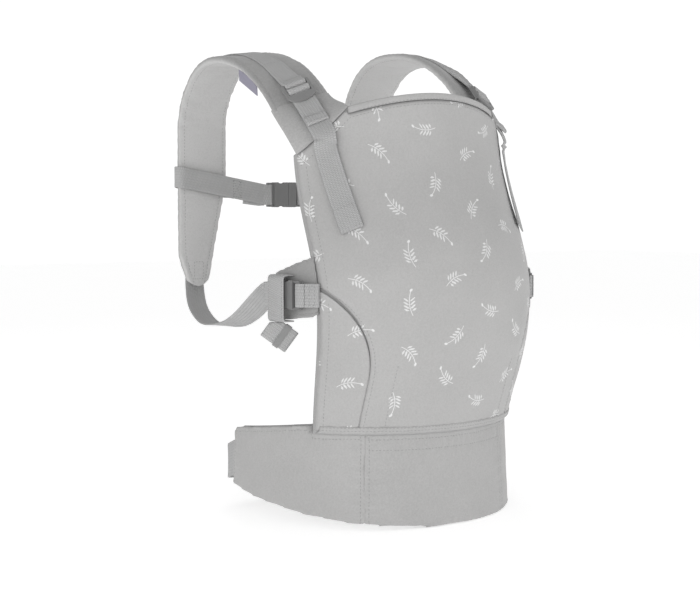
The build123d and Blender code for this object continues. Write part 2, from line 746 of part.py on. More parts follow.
for side, hand in SIDES:
    bar_x = housing_bar_x if side < 0 else plug_bar_x
    start = Vector(side * end_radius * sin(end_angle), -end_radius * cos(end_angle))
    bend_x = start.X + side * (waist_rear_y - start.Y) * cos(end_angle) / sin(end_angle)
    with BuildPart() as waist_webbing:
        with BuildSketch():
            with BuildLine() as route:
                FilletPolyline((start.X, start.Y), (bend_x, waist_rear_y),
                               (bar_x + side * buckle_bar, waist_rear_y), radius=waist_bend)
            trace(route.line, line_width=2 * web_thickness)
            with Locations((0, waist_rear_y)):
                add(bar_loop(bar_x, side, buckle_bar))
        extrude(amount=2 * belt_height)
        with BuildSketch(Plane.YZ):
            with BuildLine():
                half = waist_web_width / 2
                level_y, far_y = waist_rear_y - buckle_bar * 2, waist_rear_y + waist_bend
                Polyline((start.Y - 5, waist_end_height - half), (level_y, waist_rear_height - half),
                         (far_y, waist_rear_height - half), (far_y, waist_rear_height + half),
                         (level_y, waist_rear_height + half), (start.Y - 5, waist_end_height + half),
                         close=True)
            make_face()
        extrude(amount=REACH, both=True, mode=Mode.INTERSECT)
    finish(waist_webbing, f"{hand}_waist_webbing")

add_buckle("waist", waist_seat, waist_web_width)


# --- side buckles, their padded guards and webbing ---------------------------------------------

def side_point(side, angle, z, lift):
    """Point at an angle round the panel's axis, from the front, moved outwards by lift."""
    r, a = panel_r(z) + lift, radians(angle)
    return Vector(side * r * sin(a), panel_axis_y(z) - r * cos(a), z)


def side_seat(side):
    a = radians(side_mouth_angle)
    origin = side_point(side, side_mouth_angle, side_height, buckle_thickness / 2 + play)
    return Plane(origin=origin, x_dir=(side * cos(a), sin(a), 0), z_dir=(side * sin(a), -cos(a), 0))


upright = Vector(0, 0, 1)
band_lift = buckle_thickness + 3

for side, hand in SIDES:
    seat = side_seat(side)
    loop_plane = Plane(origin=seat.origin, x_dir=seat.x_dir, z_dir=seat.y_dir * -1)

    rear_y = side_point(side, guard_angle, side_height, 0).Y
    front_y = panel_point(panel_half_width, side_height).Y
    with BuildPart() as buckle_guard:
        add(torso_shell(-guard_thickness, 0))
        with BuildSketch(Plane.YZ) as view:
            with BuildLine():
                Polyline((2 * front_y, guard_front[0]), (front_y, guard_front[0]), (rear_y, guard_rear[0]),
                         (rear_y, guard_rear[1]), (front_y, guard_front[1]), (2 * front_y, guard_front[1]),
                         close=True)
            make_face()
            fillet(view.vertices().group_by(Axis.Y)[-1], radius=guard_corner)
        extrude(amount=side * REACH, mode=Mode.INTERSECT)
        extrude(panel_outline(), amount=REACH, both=True, mode=Mode.SUBTRACT)
    finish(buckle_guard, f"{hand}_buckle_guard")

    middle = side_point(side, keeper_band_angle, (guard_rear[0] + guard_rear[1]) / 2, 2 * play)
    outward = Vector(middle.X, middle.Y - panel_axis_y(middle.Z), 0)
    tall = guard_rear[1] - guard_rear[0] - 2 * keeper_band_inset
    with BuildPart() as guard_band:
        with BuildSketch(Plane(origin=middle, x_dir=outward, z_dir=outward.cross(upright))):
            Rectangle(band_lift + web_thickness, tall, align=(Align.MIN, Align.CENTER))
            Rectangle(band_lift, tall - 2 * web_thickness, align=(Align.MIN, Align.CENTER),
                      mode=Mode.SUBTRACT)
        extrude(amount=keeper_band / 2, both=True)
    finish(guard_band, f"{hand}_guard_band")

    with BuildPart() as anchor_webbing:
        points = [seat.from_local_coords(Vector(housing_bar_x - buckle_bar, 0, 0)),
                  side_point(side, 63, side_height, 2 * web_thickness + play),
                  side_point(side, 57.5, side_height, web_thickness + 3 * play)]
        add(ribbon(points, [upright] * 3, web_width, 2 * web_thickness))
        with BuildSketch(loop_plane):
            add(bar_loop(housing_bar_x, -1, 1))
        extrude(amount=web_width / 2, both=True)
    finish(anchor_webbing, f"{hand}_anchor_webbing")

    tip = Vector(side * (strap_tip_x - 2), strap_rear_y + strap_thickness / 2 + web_thickness, strap_tip)
    with BuildPart() as side_webbing:
        points = [seat.from_local_coords(Vector(plug_bar_x + reach, 0, 0)) for reach in (5, 14)]
        points += [Vector(side * x, y, side_height - drop) for x, y, drop, _ in side_web_route]
        points += [tip, tip + upright * web_width]
        slant = [0, 0] + [angle for _, _, _, angle in side_web_route] + [90, 90]
        lateral = Vector(side, 0, 0)
        widths = [upright * cos(radians(a)) + lateral * sin(radians(a)) for a in slant]
        add(ribbon(points, widths, web_width, web_thickness))
        with BuildSketch(loop_plane):
            add(bar_loop(plug_bar_x, 1, 2))
        extrude(amount=web_width / 2, both=True)
    finish(side_webbing, f"{hand}_side_webbing")

    add_buckle(f"{hand}_side", seat, web_width)

    # the webbing's free end, folded up and held by an elastic keeper, hangs below the band
    facing = radians(tail_facing)
    level = Vector(-side * cos(facing), -sin(facing), 0)
    turn = radians(tail_turn)
    lie = Plane(origin=side_point(side, tail_angle, guard_rear[0] - tail_drop, tail_lift),
                x_dir=level * sin(turn) + upright * cos(turn),
                z_dir=level * cos(turn) - upright * sin(turn))
    with BuildPart() as webbing_tail:
        with BuildSketch(lie):
            RectangleRounded(web_width, folded_thickness, radius=1.5)
        extrude(amount=folded_length / 2, both=True)
        split(bisect_by=Plane.XY.offset(guard_rear[0] + keeper_band_inset - play), keep=Keep.BOTTOM)
    finish(webbing_tail, f"{hand}_webbing_tail")
    with BuildPart() as tail_keeper:
        with BuildSketch(lie):
            grow = 2 * (play + keeper_thickness)
            RectangleRounded(web_width + grow, folded_thickness + grow, radius=2.5)
            RectangleRounded(web_width + 2 * play, folded_thickness + 2 * play, radius=1.5,
                             mode=Mode.SUBTRACT)
        extrude(amount=keeper_length)
    finish(tail_keeper, f"{hand}_tail_keeper")
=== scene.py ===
"""Soft baby carrier: cloth, padding, webbing, fittings and print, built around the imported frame."""

import json
import logging
import math
from collections.abc import Callable, Iterable
from dataclasses import dataclass, field
from enum import Enum
from functools import lru_cache

import bmesh
import bpy
import numpy as np
from mathutils import Matrix, Vector, noise
from mathutils.bvhtree import BVHTree
from mathutils.kdtree import KDTree


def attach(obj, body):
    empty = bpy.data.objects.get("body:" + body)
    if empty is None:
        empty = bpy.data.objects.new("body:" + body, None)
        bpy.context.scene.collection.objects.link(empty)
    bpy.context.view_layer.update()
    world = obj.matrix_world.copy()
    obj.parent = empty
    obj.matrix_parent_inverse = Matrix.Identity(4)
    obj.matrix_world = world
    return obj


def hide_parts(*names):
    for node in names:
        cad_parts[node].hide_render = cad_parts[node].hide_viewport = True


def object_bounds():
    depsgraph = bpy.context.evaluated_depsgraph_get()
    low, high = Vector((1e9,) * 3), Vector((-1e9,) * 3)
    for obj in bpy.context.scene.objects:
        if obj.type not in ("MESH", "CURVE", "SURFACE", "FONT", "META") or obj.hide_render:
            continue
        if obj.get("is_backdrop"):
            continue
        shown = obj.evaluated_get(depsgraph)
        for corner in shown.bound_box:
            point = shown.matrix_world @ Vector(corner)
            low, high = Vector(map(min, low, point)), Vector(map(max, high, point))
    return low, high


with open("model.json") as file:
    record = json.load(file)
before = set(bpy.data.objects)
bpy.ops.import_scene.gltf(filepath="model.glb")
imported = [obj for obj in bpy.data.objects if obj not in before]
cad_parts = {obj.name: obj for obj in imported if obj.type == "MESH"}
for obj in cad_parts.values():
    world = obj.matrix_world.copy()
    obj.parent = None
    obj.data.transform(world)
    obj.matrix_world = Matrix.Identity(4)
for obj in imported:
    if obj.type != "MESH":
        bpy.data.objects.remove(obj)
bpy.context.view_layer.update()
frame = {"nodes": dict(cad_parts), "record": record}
log = logging.getLogger("carrier")

# Lengths are in metres, and angles in degrees unless they go straight into a sine or cosine.
Spot = tuple[Vector, float, float]
Place = Callable[[float, float], Spot]
SIDES = ((-1, "left"), (1, "right"))
UP = Vector((0, 0, 1))
MERGE = 1e-6
CAD_MERGE = 1e-5
WEB_WIDTH = 0.025
WEB_THICKNESS = 0.0016
EDGE_WAVER = 0.0003
GATHER_PITCH = 0.0105
SEAM_SAMPLE = 0.001


class Slot(Enum):
    """Material slots of the record."""

    CLOTH = "cloth"
    LINING = "lining_cloth"
    WEBBING = "webbing"
    BUCKLE = "buckle_plastic"
    LOCK = "lock_plastic"
    ELASTIC = "elastic"
    TAG = "tag_cloth"


# --- shader arithmetic ------------------------------------------------------------------------

class Value:
    """A number in a shader, whose arithmetic adds Math nodes."""

    def __init__(self, shop: "Shop", socket: bpy.types.NodeSocket) -> None:
        """Wraps an output socket of a shop's node tree."""
        self.shop = shop
        self.socket = socket

    def maths(self, operation: str, *others: "Value | float") -> "Value":
        """Adds one Math node.

        Args:
            operation: the node's operation.
            others: its further inputs.

        Returns:
            The node's result.
        """
        inputs = dict(enumerate((self, *others)))
        return self.shop.node("ShaderNodeMath", {"operation": operation}, inputs)

    def __add__(self, other: "Value | float") -> "Value":
        """Sum."""
        return self.maths("ADD", other)

    def __sub__(self, other: "Value | float") -> "Value":
        """Difference."""
        return self.maths("SUBTRACT", other)

    def __rsub__(self, other: float) -> "Value":
        """Difference from a number."""
        return self.shop.node("ShaderNodeMath", {"operation": "SUBTRACT"}, {0: other, 1: self})

    def __rtruediv__(self, other: float) -> "Value":
        """Quotient of a number by this."""
        return self.shop.node("ShaderNodeMath", {"operation": "DIVIDE"}, {0: other, 1: self})

    def __mul__(self, other: "Value | float") -> "Value":
        """Product."""
        return self.maths("MULTIPLY", other)

    def __truediv__(self, other: "Value | float") -> "Value":
        """Quotient."""
        return self.maths("DIVIDE", other)

    def __abs__(self) -> "Value":
        """Magnitude."""
        return self.maths("ABSOLUTE")

    def __lt__(self, other: "Value | float") -> "Value":
        """1 where smaller, else 0."""
        return self.maths("LESS_THAN", other)

    def __gt__(self, other: "Value | float") -> "Value":
        """1 where greater, else 0."""
        return self.maths("GREATER_THAN", other)

    __radd__ = __add__
    __rmul__ = __mul__

    def either(self, other: "Value | float") -> "Value":
        """The greater of two."""
        return self.maths("MAXIMUM", other)

    def both(self, other: "Value | float") -> "Value":
        """The smaller of two."""
        return self.maths("MINIMUM", other)

    def floor(self) -> "Value":
        """Whole part."""
        return self.maths("FLOOR")

    def wrap(self, period: float) -> "Value":
        """Remainder, from 0 to the period."""
        return self.maths("FLOORED_MODULO", period)

    def sine(self) -> "Value":
        """Sine."""
        return self.maths("SINE")

    def cosine(self) -> "Value":
        """Cosine."""
        return self.maths("COSINE")

    def fade(self, low: float, high: float) -> "Value":
        """1 below low, 0 above high, smooth between."""
        settings = {"interpolation_type": "SMOOTHSTEP"}
        inputs = {"Value": self, "From Min": low, "From Max": high, "To Min": 1.0, "To Max": 0.0}
        return self.shop.node("ShaderNodeMapRange", settings, inputs)


class Shop:
    """A material in the making: its node tree and the one method that adds nodes."""

    def __init__(self, name: str) -> None:
        """Starts an empty material."""
        self.material = bpy.data.materials.new(name)
        self.material.use_nodes = True
        self.tree = self.material.node_tree
        self.tree.nodes.clear()

    def node(self, kind: str, settings: dict | None = None, inputs: dict | None = None,
             output: int | str = 0) -> Value:
        """Adds a node.

        Args:
            kind: the node's type.
            settings: its properties, set first; "stops" holds a ramp's positions and colours.
            inputs: values or links by socket name or number.
            output: which output to hand back.

        Returns:
            The output, wrapped.
        """
        node = self.tree.nodes.new(kind)
        for key, setting in (settings or {}).items():
            if key == "stops":
                ramp = node.color_ramp.elements
                for element, (position, colour) in zip(ramp, setting):
                    element.position, element.color = position, colour
                for position, colour in setting[2:]:
                    ramp.new(position).color = colour
            else:
                setattr(node, key, setting)
        for key, value in (inputs or {}).items():
            if isinstance(value, Value):
                self.tree.links.new(value.socket, node.inputs[key])
            else:
                node.inputs[key].default_value = value
        return Value(self, node.outputs[output] if node.outputs else None)

    def attribute(self, name: str) -> Value:
        """A number stored on the piece's vertices."""
        return self.node("ShaderNodeAttribute", {"attribute_name": name}, output="Fac")

    def position(self) -> Value:
        """The point's place in the row frame."""
        return self.node("ShaderNodeTexCoord", output="Object")

    def noise(self, scale: float, detail: float, vector: Value | None = None) -> Value:
        """Fractal noise at a scale per metre."""
        inputs = {"Vector": vector or self.position(), "Scale": scale, "Detail": detail}
        return self.node("ShaderNodeTexNoise", {}, inputs, "Fac")

    def mix(self, share: Value | float, first: "Value | tuple", second: "Value | tuple") -> Value:
        """Mixes two colours."""
        inputs = {0: share, 6: first, 7: second}
        return self.node("ShaderNodeMix", {"data_type": "RGBA"}, inputs, 2)

    def finish(self, colour: "Value | tuple", roughness: "Value | float", height: Value | None = None,
               depth: float = 0.0, **fixed: float) -> bpy.types.Material:
        """Joins everything to the surface shader.

        Args:
            colour: base colour.
            roughness: roughness.
            height: what the bump follows.
            depth: the bump's height in metres.
            fixed: further sockets of the shader, by name with spaces as underscores.

        Returns:
            The finished material.
        """
        inputs = {"Base Color": colour, "Roughness": roughness}
        inputs.update({name.replace("_", " "): value for name, value in fixed.items()})
        if height is not None:
            inputs["Normal"] = self.node("ShaderNodeBump", {},
                                         {"Strength": 1.0, "Distance": depth, "Height": height})
        surface = self.node("ShaderNodeBsdfPrincipled", {}, inputs)
        self.node("ShaderNodeOutputMaterial", {}, {"Surface": surface})
        return self.material


# --- finishes ---------------------------------------------------------------------------------

def grey(level: float, warmth: float = 0.0) -> tuple[float, float, float, float]:
    """A grey, slightly warm or cool."""
    return (level * (1 + warmth), level, level * (1 - warmth), 1.0)


@dataclass(frozen=True)
class Cloth:
    """Woven cotton: a fine weave, faint slubs and a soft sheen, paler where a piece's "face" number is above
    0 and darker where it is below: painted light and shade.
    """

    name: str
    light: tuple
    dark: tuple
    thread: float = 1500.0
    printed: bool = False

    @lru_cache
    def material(self) -> bpy.types.Material:
        """Makes the material."""
        shop = Shop(self.name)
        weave = shop.noise(self.thread, 2.0)
        slub = shop.noise(520.0, 3.0)
        cloud = shop.noise(14.0, 2.0)
        # The "face" number adds painted light where it is above 0 and painted shade where it is below.
        share = weave * 0.55 + slub * 0.75 + cloud * 0.45 - 0.38 + shop.attribute("face") * 0.45
        colour = shop.mix(share, self.dark, self.light)
        if self.printed:
            colour = shop.mix(Sprig().ink(shop), colour, grey(0.78))
        height = weave * 0.5 + slub * 0.5
        return shop.finish(colour, 0.86 - slub * 0.1, height, 0.0005, Sheen_Weight=0.2, Sheen_Roughness=0.45)


@dataclass(frozen=True)
class Sprig:
    """A small leafy sprig, repeated in a half-drop layout, each turned its own way."""

    across: float = 0.048
    rise: float = 0.053
    stem: float = 0.0125
    leaf_step: float = 0.0037
    leaf_length: float = 0.0034
    leaf_width: float = 0.00072
    leaf_lean: float = 38.0
    line: float = 0.00036
    stray: tuple = (0.012, 0.014)
    bend: float = 18.0
    bud: tuple = (0.0012, 0.0018)

    def ink(self, shop: Shop) -> Value:
        """Where the print lies, from 0 to 1."""
        u, v = shop.attribute("print_u"), shop.attribute("print_v")
        column = (u / self.across).floor()
        v = v + column.wrap(2.0) * (self.rise / 2)
        row = (v / self.rise).floor()
        cell = shop.node("ShaderNodeCombineXYZ", {}, {0: column + 0.37, 1: row + 0.61})
        dice = shop.node("ShaderNodeTexWhiteNoise", {"noise_dimensions": "2D"}, {"Vector": cell}, "Color")
        chance = [shop.node("ShaderNodeSeparateColor", {}, {0: dice}, k) for k in range(3)]
        a = u.wrap(self.across) - self.across / 2 + (chance[1] - 0.5) * self.stray[0]
        b = v.wrap(self.rise) - self.rise / 2 + (chance[2] - 0.5) * self.stray[1]
        turn = chance[0] * math.tau
        x = a * turn.cosine() + b * turn.sine()
        y = b * turn.cosine() - a * turn.sine()
        x = x - y * y * self.bend
        on_stem = abs(x).fade(self.line * 0.6, self.line * 1.5)
        on_stem = on_stem * abs(y).fade(self.stem, self.stem + 0.0006)
        size = 1.15 - y * 28.0
        beat = (y + self.stem).wrap(self.leaf_step) - self.leaf_step / 2
        lean = math.radians(self.leaf_lean)
        p = abs(x) - self.leaf_length
        along = (p * math.cos(lean) + beat * math.sin(lean)) / (size * self.leaf_length)
        aside = (beat * math.cos(lean) - p * math.sin(lean)) / (size * self.leaf_width)
        leaf = (along * along + aside * aside).fade(0.75, 1.15)
        leaf = leaf * (y + 0.0035).fade(self.stem * 0.75, self.stem * 0.8) * (y > -0.0075)
        bud_y = y - self.stem - 0.001
        bud = (x * x + bud_y * bud_y).maths("SQRT").fade(*self.bud)
        vein = 1.0 - abs(aside).fade(0.0, 0.28) * 0.55
        grain = shop.noise(900.0, 1.0) * 0.5 + 0.62
        return (on_stem.either(leaf * vein).either(bud) * grain).both(1.0)


@dataclass(frozen=True)
class Webbing:
    """Ribbed webbing: cross ribs over its length, tighter threads at its edges, with painted light on the rib
    crests and painted shade in the grooves between columns.
    """

    name: str
    light: tuple
    dark: tuple
    pitch: float = 0.0019
    columns: float = 0.0031

    @lru_cache
    def material(self) -> bpy.types.Material:
        """Makes the material."""
        shop = Shop(self.name)
        along, across = shop.attribute("along"), shop.attribute("across")
        skew = (across / self.columns).floor().wrap(2.0) * 0.5
        rib = ((along / self.pitch + skew) * math.tau).sine() * 0.5 + 0.5
        groove = abs((across / self.columns * math.pi).sine()).fade(0.0, 0.35)
        wear = shop.noise(60.0, 3.0)
        # Colour follows the bump: painted light on the rib crests and painted shade in the grooves between
        # columns; wear is random tone.
        share = rib * 0.55 + wear * 0.45 - groove * 0.25
        height = rib * 0.8 + (1.0 - groove) * 0.4 + shop.noise(1800.0, 1.0) * 0.3
        return shop.finish(shop.mix(share, self.dark, self.light), 0.7, height, 0.0005,
                           Sheen_Weight=0.15)


@dataclass(frozen=True)
class Moulded:
    """Moulded acetal: fine spark-eroded grain, duller where fingers rub."""

    name: str
    light: tuple
    dark: tuple
    roughness: float = 0.42

    @lru_cache
    def material(self) -> bpy.types.Material:
        """Makes the material."""
        shop = Shop(self.name)
        grain, rub = shop.noise(2600.0, 2.0), shop.noise(90.0, 4.0)
        colour = shop.mix(rub * 0.7 + grain * 0.3, self.dark, self.light)
        return shop.finish(colour, self.roughness + rub * 0.16, grain, 0.00006)


@dataclass(frozen=True)
class Thread:
    """Twisted sewing thread."""

    name: str
    colour: tuple

    @lru_cache
    def material(self) -> bpy.types.Material:
        """Makes the material."""
        shop = Shop(self.name)
        ply = shop.noise(2200.0, 1.0)
        dim = tuple(c * 0.72 for c in self.colour[:3]) + (1.0,)
        return shop.finish(shop.mix(ply, dim, self.colour), 0.55, ply, 0.0001)


@dataclass(frozen=True)
class Backdrop:
    """Pale, even studio floor."""

    @lru_cache
    def material(self) -> bpy.types.Material:
        """Makes the material."""
        shop = Shop("studio_floor")
        colour = shop.mix(shop.noise(3.0, 1.0), grey(0.94), grey(0.96))
        return shop.finish(colour, 0.9, Emission_Color=grey(1.0), Emission_Strength=0.43)


class Finish:
    """The finishes of this carrier."""

    CLOTH = Cloth("grey_cotton", grey(0.49, 0.007), grey(0.34, 0.007))
    PRINTED = Cloth("printed_cotton", grey(0.49, 0.007), grey(0.36, 0.007), printed=True)
    # Strap cloth: its spread from light to dark is widened to carry the painted light of the straps' inner
    # faces and the painted shade of their outer faces.
    STRAP = Cloth("strap_cotton", grey(0.55, 0.006), grey(0.33, 0.006))
    # A darker copy of the cloth for the side guards: painted shade, as if they lay in shadow.
    GUARD_PAINTED_SHADE = Cloth("guard_cotton_painted_shade", grey(0.40, 0.006), grey(0.27, 0.006))
    LINING = Cloth("grey_lining", grey(0.43, 0.004), grey(0.34, 0.004), thread=1800.0)
    WEBBING = Webbing("ribbed_webbing", grey(0.51), grey(0.335))
    ELASTIC = Webbing("elastic_tape", grey(0.38), grey(0.28), pitch=0.0011, columns=0.0012)
    TAG = Webbing("woven_tab", (0.30, 0.29, 0.36, 1), (0.22, 0.21, 0.28, 1), pitch=0.0009, columns=0.0009)
    BUCKLE = Moulded("buckle_acetal", grey(0.205), grey(0.16))
    LOCK = Moulded("lock_acetal", grey(0.25), grey(0.20))
    # Both threads are darker than what they sit on: partly their own colour, partly painted shade standing in
    # for the stitch holes.
    THREAD = Thread("grey_thread", grey(0.30))
    SHADE_THREAD = Thread("dark_thread", grey(0.17))


# --- mesh tools -------------------------------------------------------------------------------

def placed(name: str, data: bpy.types.ID) -> bpy.types.Object:
    """Puts a new object with its data into the scene."""
    made = bpy.data.objects.new(name, data)
    bpy.context.scene.collection.objects.link(made)
    return made


def make_piece(bm: bmesh.types.BMesh, name: str, finish: object, replaces: Iterable[str] = (),
               body: str = "carrier") -> bpy.types.Object:
    """Turns a bmesh into a finished piece.

    Args:
        bm: the shape, which is freed.
        name: the piece's name.
        finish: an object with a material method.
        replaces: the CAD nodes that it stands for.
        body: the CAD body that it rides on.

    Returns:
        The piece.
    """
    mesh = bpy.data.meshes.new(name)
    for face in bm.faces:
        face.smooth = True
    bm.to_mesh(mesh)
    bm.free()
    piece = placed(name, mesh)
    mesh.materials.append(finish.material())
    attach(piece, body)
    if replaces:
        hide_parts(*replaces)
    log.info("%s: %d vertices", name, len(mesh.vertices))
    return piece


def grid(columns: int, rows: int, place: Place, names: tuple[str, str] = ("along", "across"),
         closed: bool = False) -> bmesh.types.BMesh:
    """Lays a grid over a surface.

    Args:
        columns: faces along s.
        rows: faces along t.
        place: gives, for s and t from 0 to 1, the point and the two numbers stored on it.
        names: what those numbers are called.
        closed: whether s runs round a closed section, whose ends are then filled.

    Returns:
        The mesh.
    """
    bm = bmesh.new()
    bmesh.ops.create_grid(bm, x_segments=columns, y_segments=rows, size=0.5)
    first, second = (bm.verts.layers.float.new(name) for name in names)
    for vertex in bm.verts:
        point, vertex[first], vertex[second] = place(vertex.co.x + 0.5, vertex.co.y + 0.5)
        vertex.co = point
    bmesh.ops.remove_doubles(bm, verts=bm.verts, dist=MERGE)
    if closed:
        rim = [edge for edge in bm.edges if edge.is_boundary]
        bmesh.ops.holes_fill(bm, edges=rim)
        bmesh.ops.recalc_face_normals(bm, faces=bm.faces)
    return bm


def modifier(piece: bpy.types.Object, kind: str, **settings: object) -> None:
    """Adds a modifier with its settings."""
    made = piece.modifiers.new(kind.lower(), kind)
    for key, value in settings.items():
        setattr(made, key, value)


def bake_modifiers(piece: bpy.types.Object) -> None:
    """Replaces a piece's mesh by what its modifiers make of it."""
    evaluated = piece.evaluated_get(bpy.context.evaluated_depsgraph_get())
    mesh = bpy.data.meshes.new_from_object(evaluated)
    piece.modifiers.clear()
    piece.data = mesh


def coordinates(mesh: bpy.types.Mesh) -> np.ndarray:
    """A mesh's vertices, one row each."""
    flat = np.zeros(len(mesh.vertices) * 3, np.float32)
    mesh.vertices.foreach_get("co", flat)
    return flat.reshape(-1, 3).astype(float)


def directions(mesh: bpy.types.Mesh) -> np.ndarray:
    """The normals of a mesh's vertices, one row each."""
    return np.array([tuple(vertex.normal) for vertex in mesh.vertices])


def set_coordinates(mesh: bpy.types.Mesh, points: np.ndarray) -> None:
    """Moves a mesh's vertices."""
    mesh.vertices.foreach_set("co", points.astype(np.float32).ravel())
    mesh.update()


@lru_cache
def cad_tree(node: str) -> BVHTree:
    """A search tree over a CAD node's surface."""
    bm = bmesh.new()
    bm.from_mesh(frame["nodes"][node].data)
    tree = BVHTree.FromBMesh(bm)
    bm.free()
    return tree


def piece_tree(piece: bpy.types.Object) -> BVHTree:
    """A search tree over a finished piece's surface."""
    return BVHTree.FromObject(piece, bpy.context.evaluated_depsgraph_get())


def point_tree(points: list[Vector]) -> KDTree:
    """A search tree over points."""
    tree = KDTree(len(points))
    for i, point in enumerate(points):
        tree.insert(point, i)
    tree.balance()
    return tree


# --- long pieces: sections, strips and stitching --------------------------------------------------

@dataclass
class Station:
    """One cross-section of a long piece."""

    centre: Vector
    onward: Vector
    across: Vector

    @property
    def up(self) -> Vector:
        """Thickness direction."""
        return self.onward.cross(self.across)

    def point(self, aside: float, lift: float) -> Vector:
        """A point of the section."""
        return self.centre + self.across * aside + self.up * lift


def aligned(stations: list[Station]) -> list[Station]:
    """Points every section along the row of centres."""
    for i, station in enumerate(stations):
        before, after = stations[max(i - 1, 0)], stations[min(i + 1, len(stations) - 1)]
        station.onward = (after.centre - before.centre).normalized()
        station.across = (station.across - station.onward * station.across.dot(station.onward)).normalized()
    return stations


def cornered(points: list[Vector], radius: float) -> list[Vector]:
    """A line through points, its corners rounded."""
    made = [points[0]]
    for before, corner, after in zip(points, points[1:], points[2:]):
        back, on = before - corner, after - corner
        r = min(radius, back.length / 2, on.length / 2)
        a, b = corner + back.normalized() * r, corner + on.normalized() * r
        made += [a * (1 - t) ** 2 + corner * (2 * t * (1 - t)) + b * t * t for t in (k / 6 for k in range(7))]
    return made + [points[-1]]


def flowing(points: list[Vector], parts: int = 8) -> list[Vector]:
    """A smooth line through points."""
    made = []
    for i in range(len(points) - 1):
        p = [points[max(i - 1, 0)], points[i], points[i + 1], points[min(i + 2, len(points) - 1)]]
        for k in range(parts):
            t = k / parts
            made.append(0.5 * (2 * p[1] + (p[2] - p[0]) * t + (2 * p[0] - 5 * p[1] + 4 * p[2] - p[3]) * t ** 2
                               + (3 * p[1] - p[0] - 3 * p[2] + p[3]) * t ** 3))
    return made + [points[-1]]


def eased(points: list[Vector], rounds: int, weight: float) -> list[Vector]:
    """A line smoothed in rounds, each point by its neighbours, its ends held."""
    for _ in range(rounds):
        between = zip(points, points[1:], points[2:])
        points = points[:1] + [(a + b * weight + c) / (2 + weight) for a, b, c in between] + points[-1:]
    return points


def laid(points: list[Vector], across: Vector | list[Vector], step: float = 0.0025) -> list[Station]:
    """Evenly spaced sections along a line.

    Args:
        points: the line.
        across: the width direction, the same all along or one for each point.
        step: distance between sections.

    Returns:
        The sections in order.
    """
    wides = across if isinstance(across, list) else [across] * len(points)
    runs = [0.0]
    for a, b in zip(points, points[1:]):
        runs.append(runs[-1] + (b - a).length)
    count = max(2, round(runs[-1] / step))
    stations, i = [], 0
    for k in range(count + 1):
        run = runs[-1] * k / count
        while i < len(points) - 2 and runs[i + 1] < run:
            i += 1
        share = (run - runs[i]) / max(runs[i + 1] - runs[i], 1e-9)
        stations.append(Station(points[i].lerp(points[i + 1], share), UP, wides[i].lerp(wides[i + 1], share)))
    return aligned(stations)


def strip(stations: list[Station], width: float, thickness: float) -> bmesh.types.BMesh:
    """A woven strip with rounded edges, laid through sections.

    Args:
        stations: the sections.
        width: full width.
        thickness: full thickness.

    Returns:
        The closed mesh, with its length and width stored on its vertices.
    """
    w, h, e = width / 2, thickness / 2, min(thickness * 0.45, width / 5)
    side = [(-w, 0), (-w + e * 0.35, h * 0.72), (-w + e, h), (-w / 2, h), (0, h)]
    outline = side + [(-a, r) for a, r in side[-2::-1]]
    outline += [(a, -r) for a, r in outline[-2:0:-1]]
    last = len(stations) - 1
    lengths = [0.0]
    for before, after in zip(stations, stations[1:]):
        lengths.append(lengths[-1] + (after.centre - before.centre).length)

    def place(s: float, t: float) -> Spot:
        """A point of the strip's skin."""
        i = round(t * last)
        aside, rise = outline[round(s * len(outline)) % len(outline)]
        waver = EDGE_WAVER * noise.noise(stations[i].centre * 70) * abs(aside) / w
        return stations[i].point(aside, rise + waver), lengths[i], aside

    return grid(len(outline), last, place, closed=True)


@dataclass
class Bar:
    """Webbing taken round a bar: where it stands and how it's turned."""

    centre: Vector
    away: Vector
    out: Vector
    half_x: float = 0.0031
    half_y: float = 0.0036
    layer: float = 0.0009

    def at(self, x: float, y: float) -> Vector:
        """A point, x away from the bar and y outwards."""
        return self.centre + self.away * x + self.out * y

    def loop(self, reach: float, back: float) -> list[Vector]:
        """The way in on the outer side, round the bar, and back on the inner side.

        Args:
            reach: how far off it starts.
            back: how far off it ends.

        Returns:
            The line.
        """
        x, y, layer = self.half_x, self.half_y, self.layer
        spots = [(reach, layer), (x + 0.005, layer), (x - 0.0005, y), (-x, y), (-x, -y), (x - 0.0005, -y),
                 (x + 0.005, -layer), (back, -layer)]
        return cornered([self.at(a, b) for a, b in spots], 0.0022)


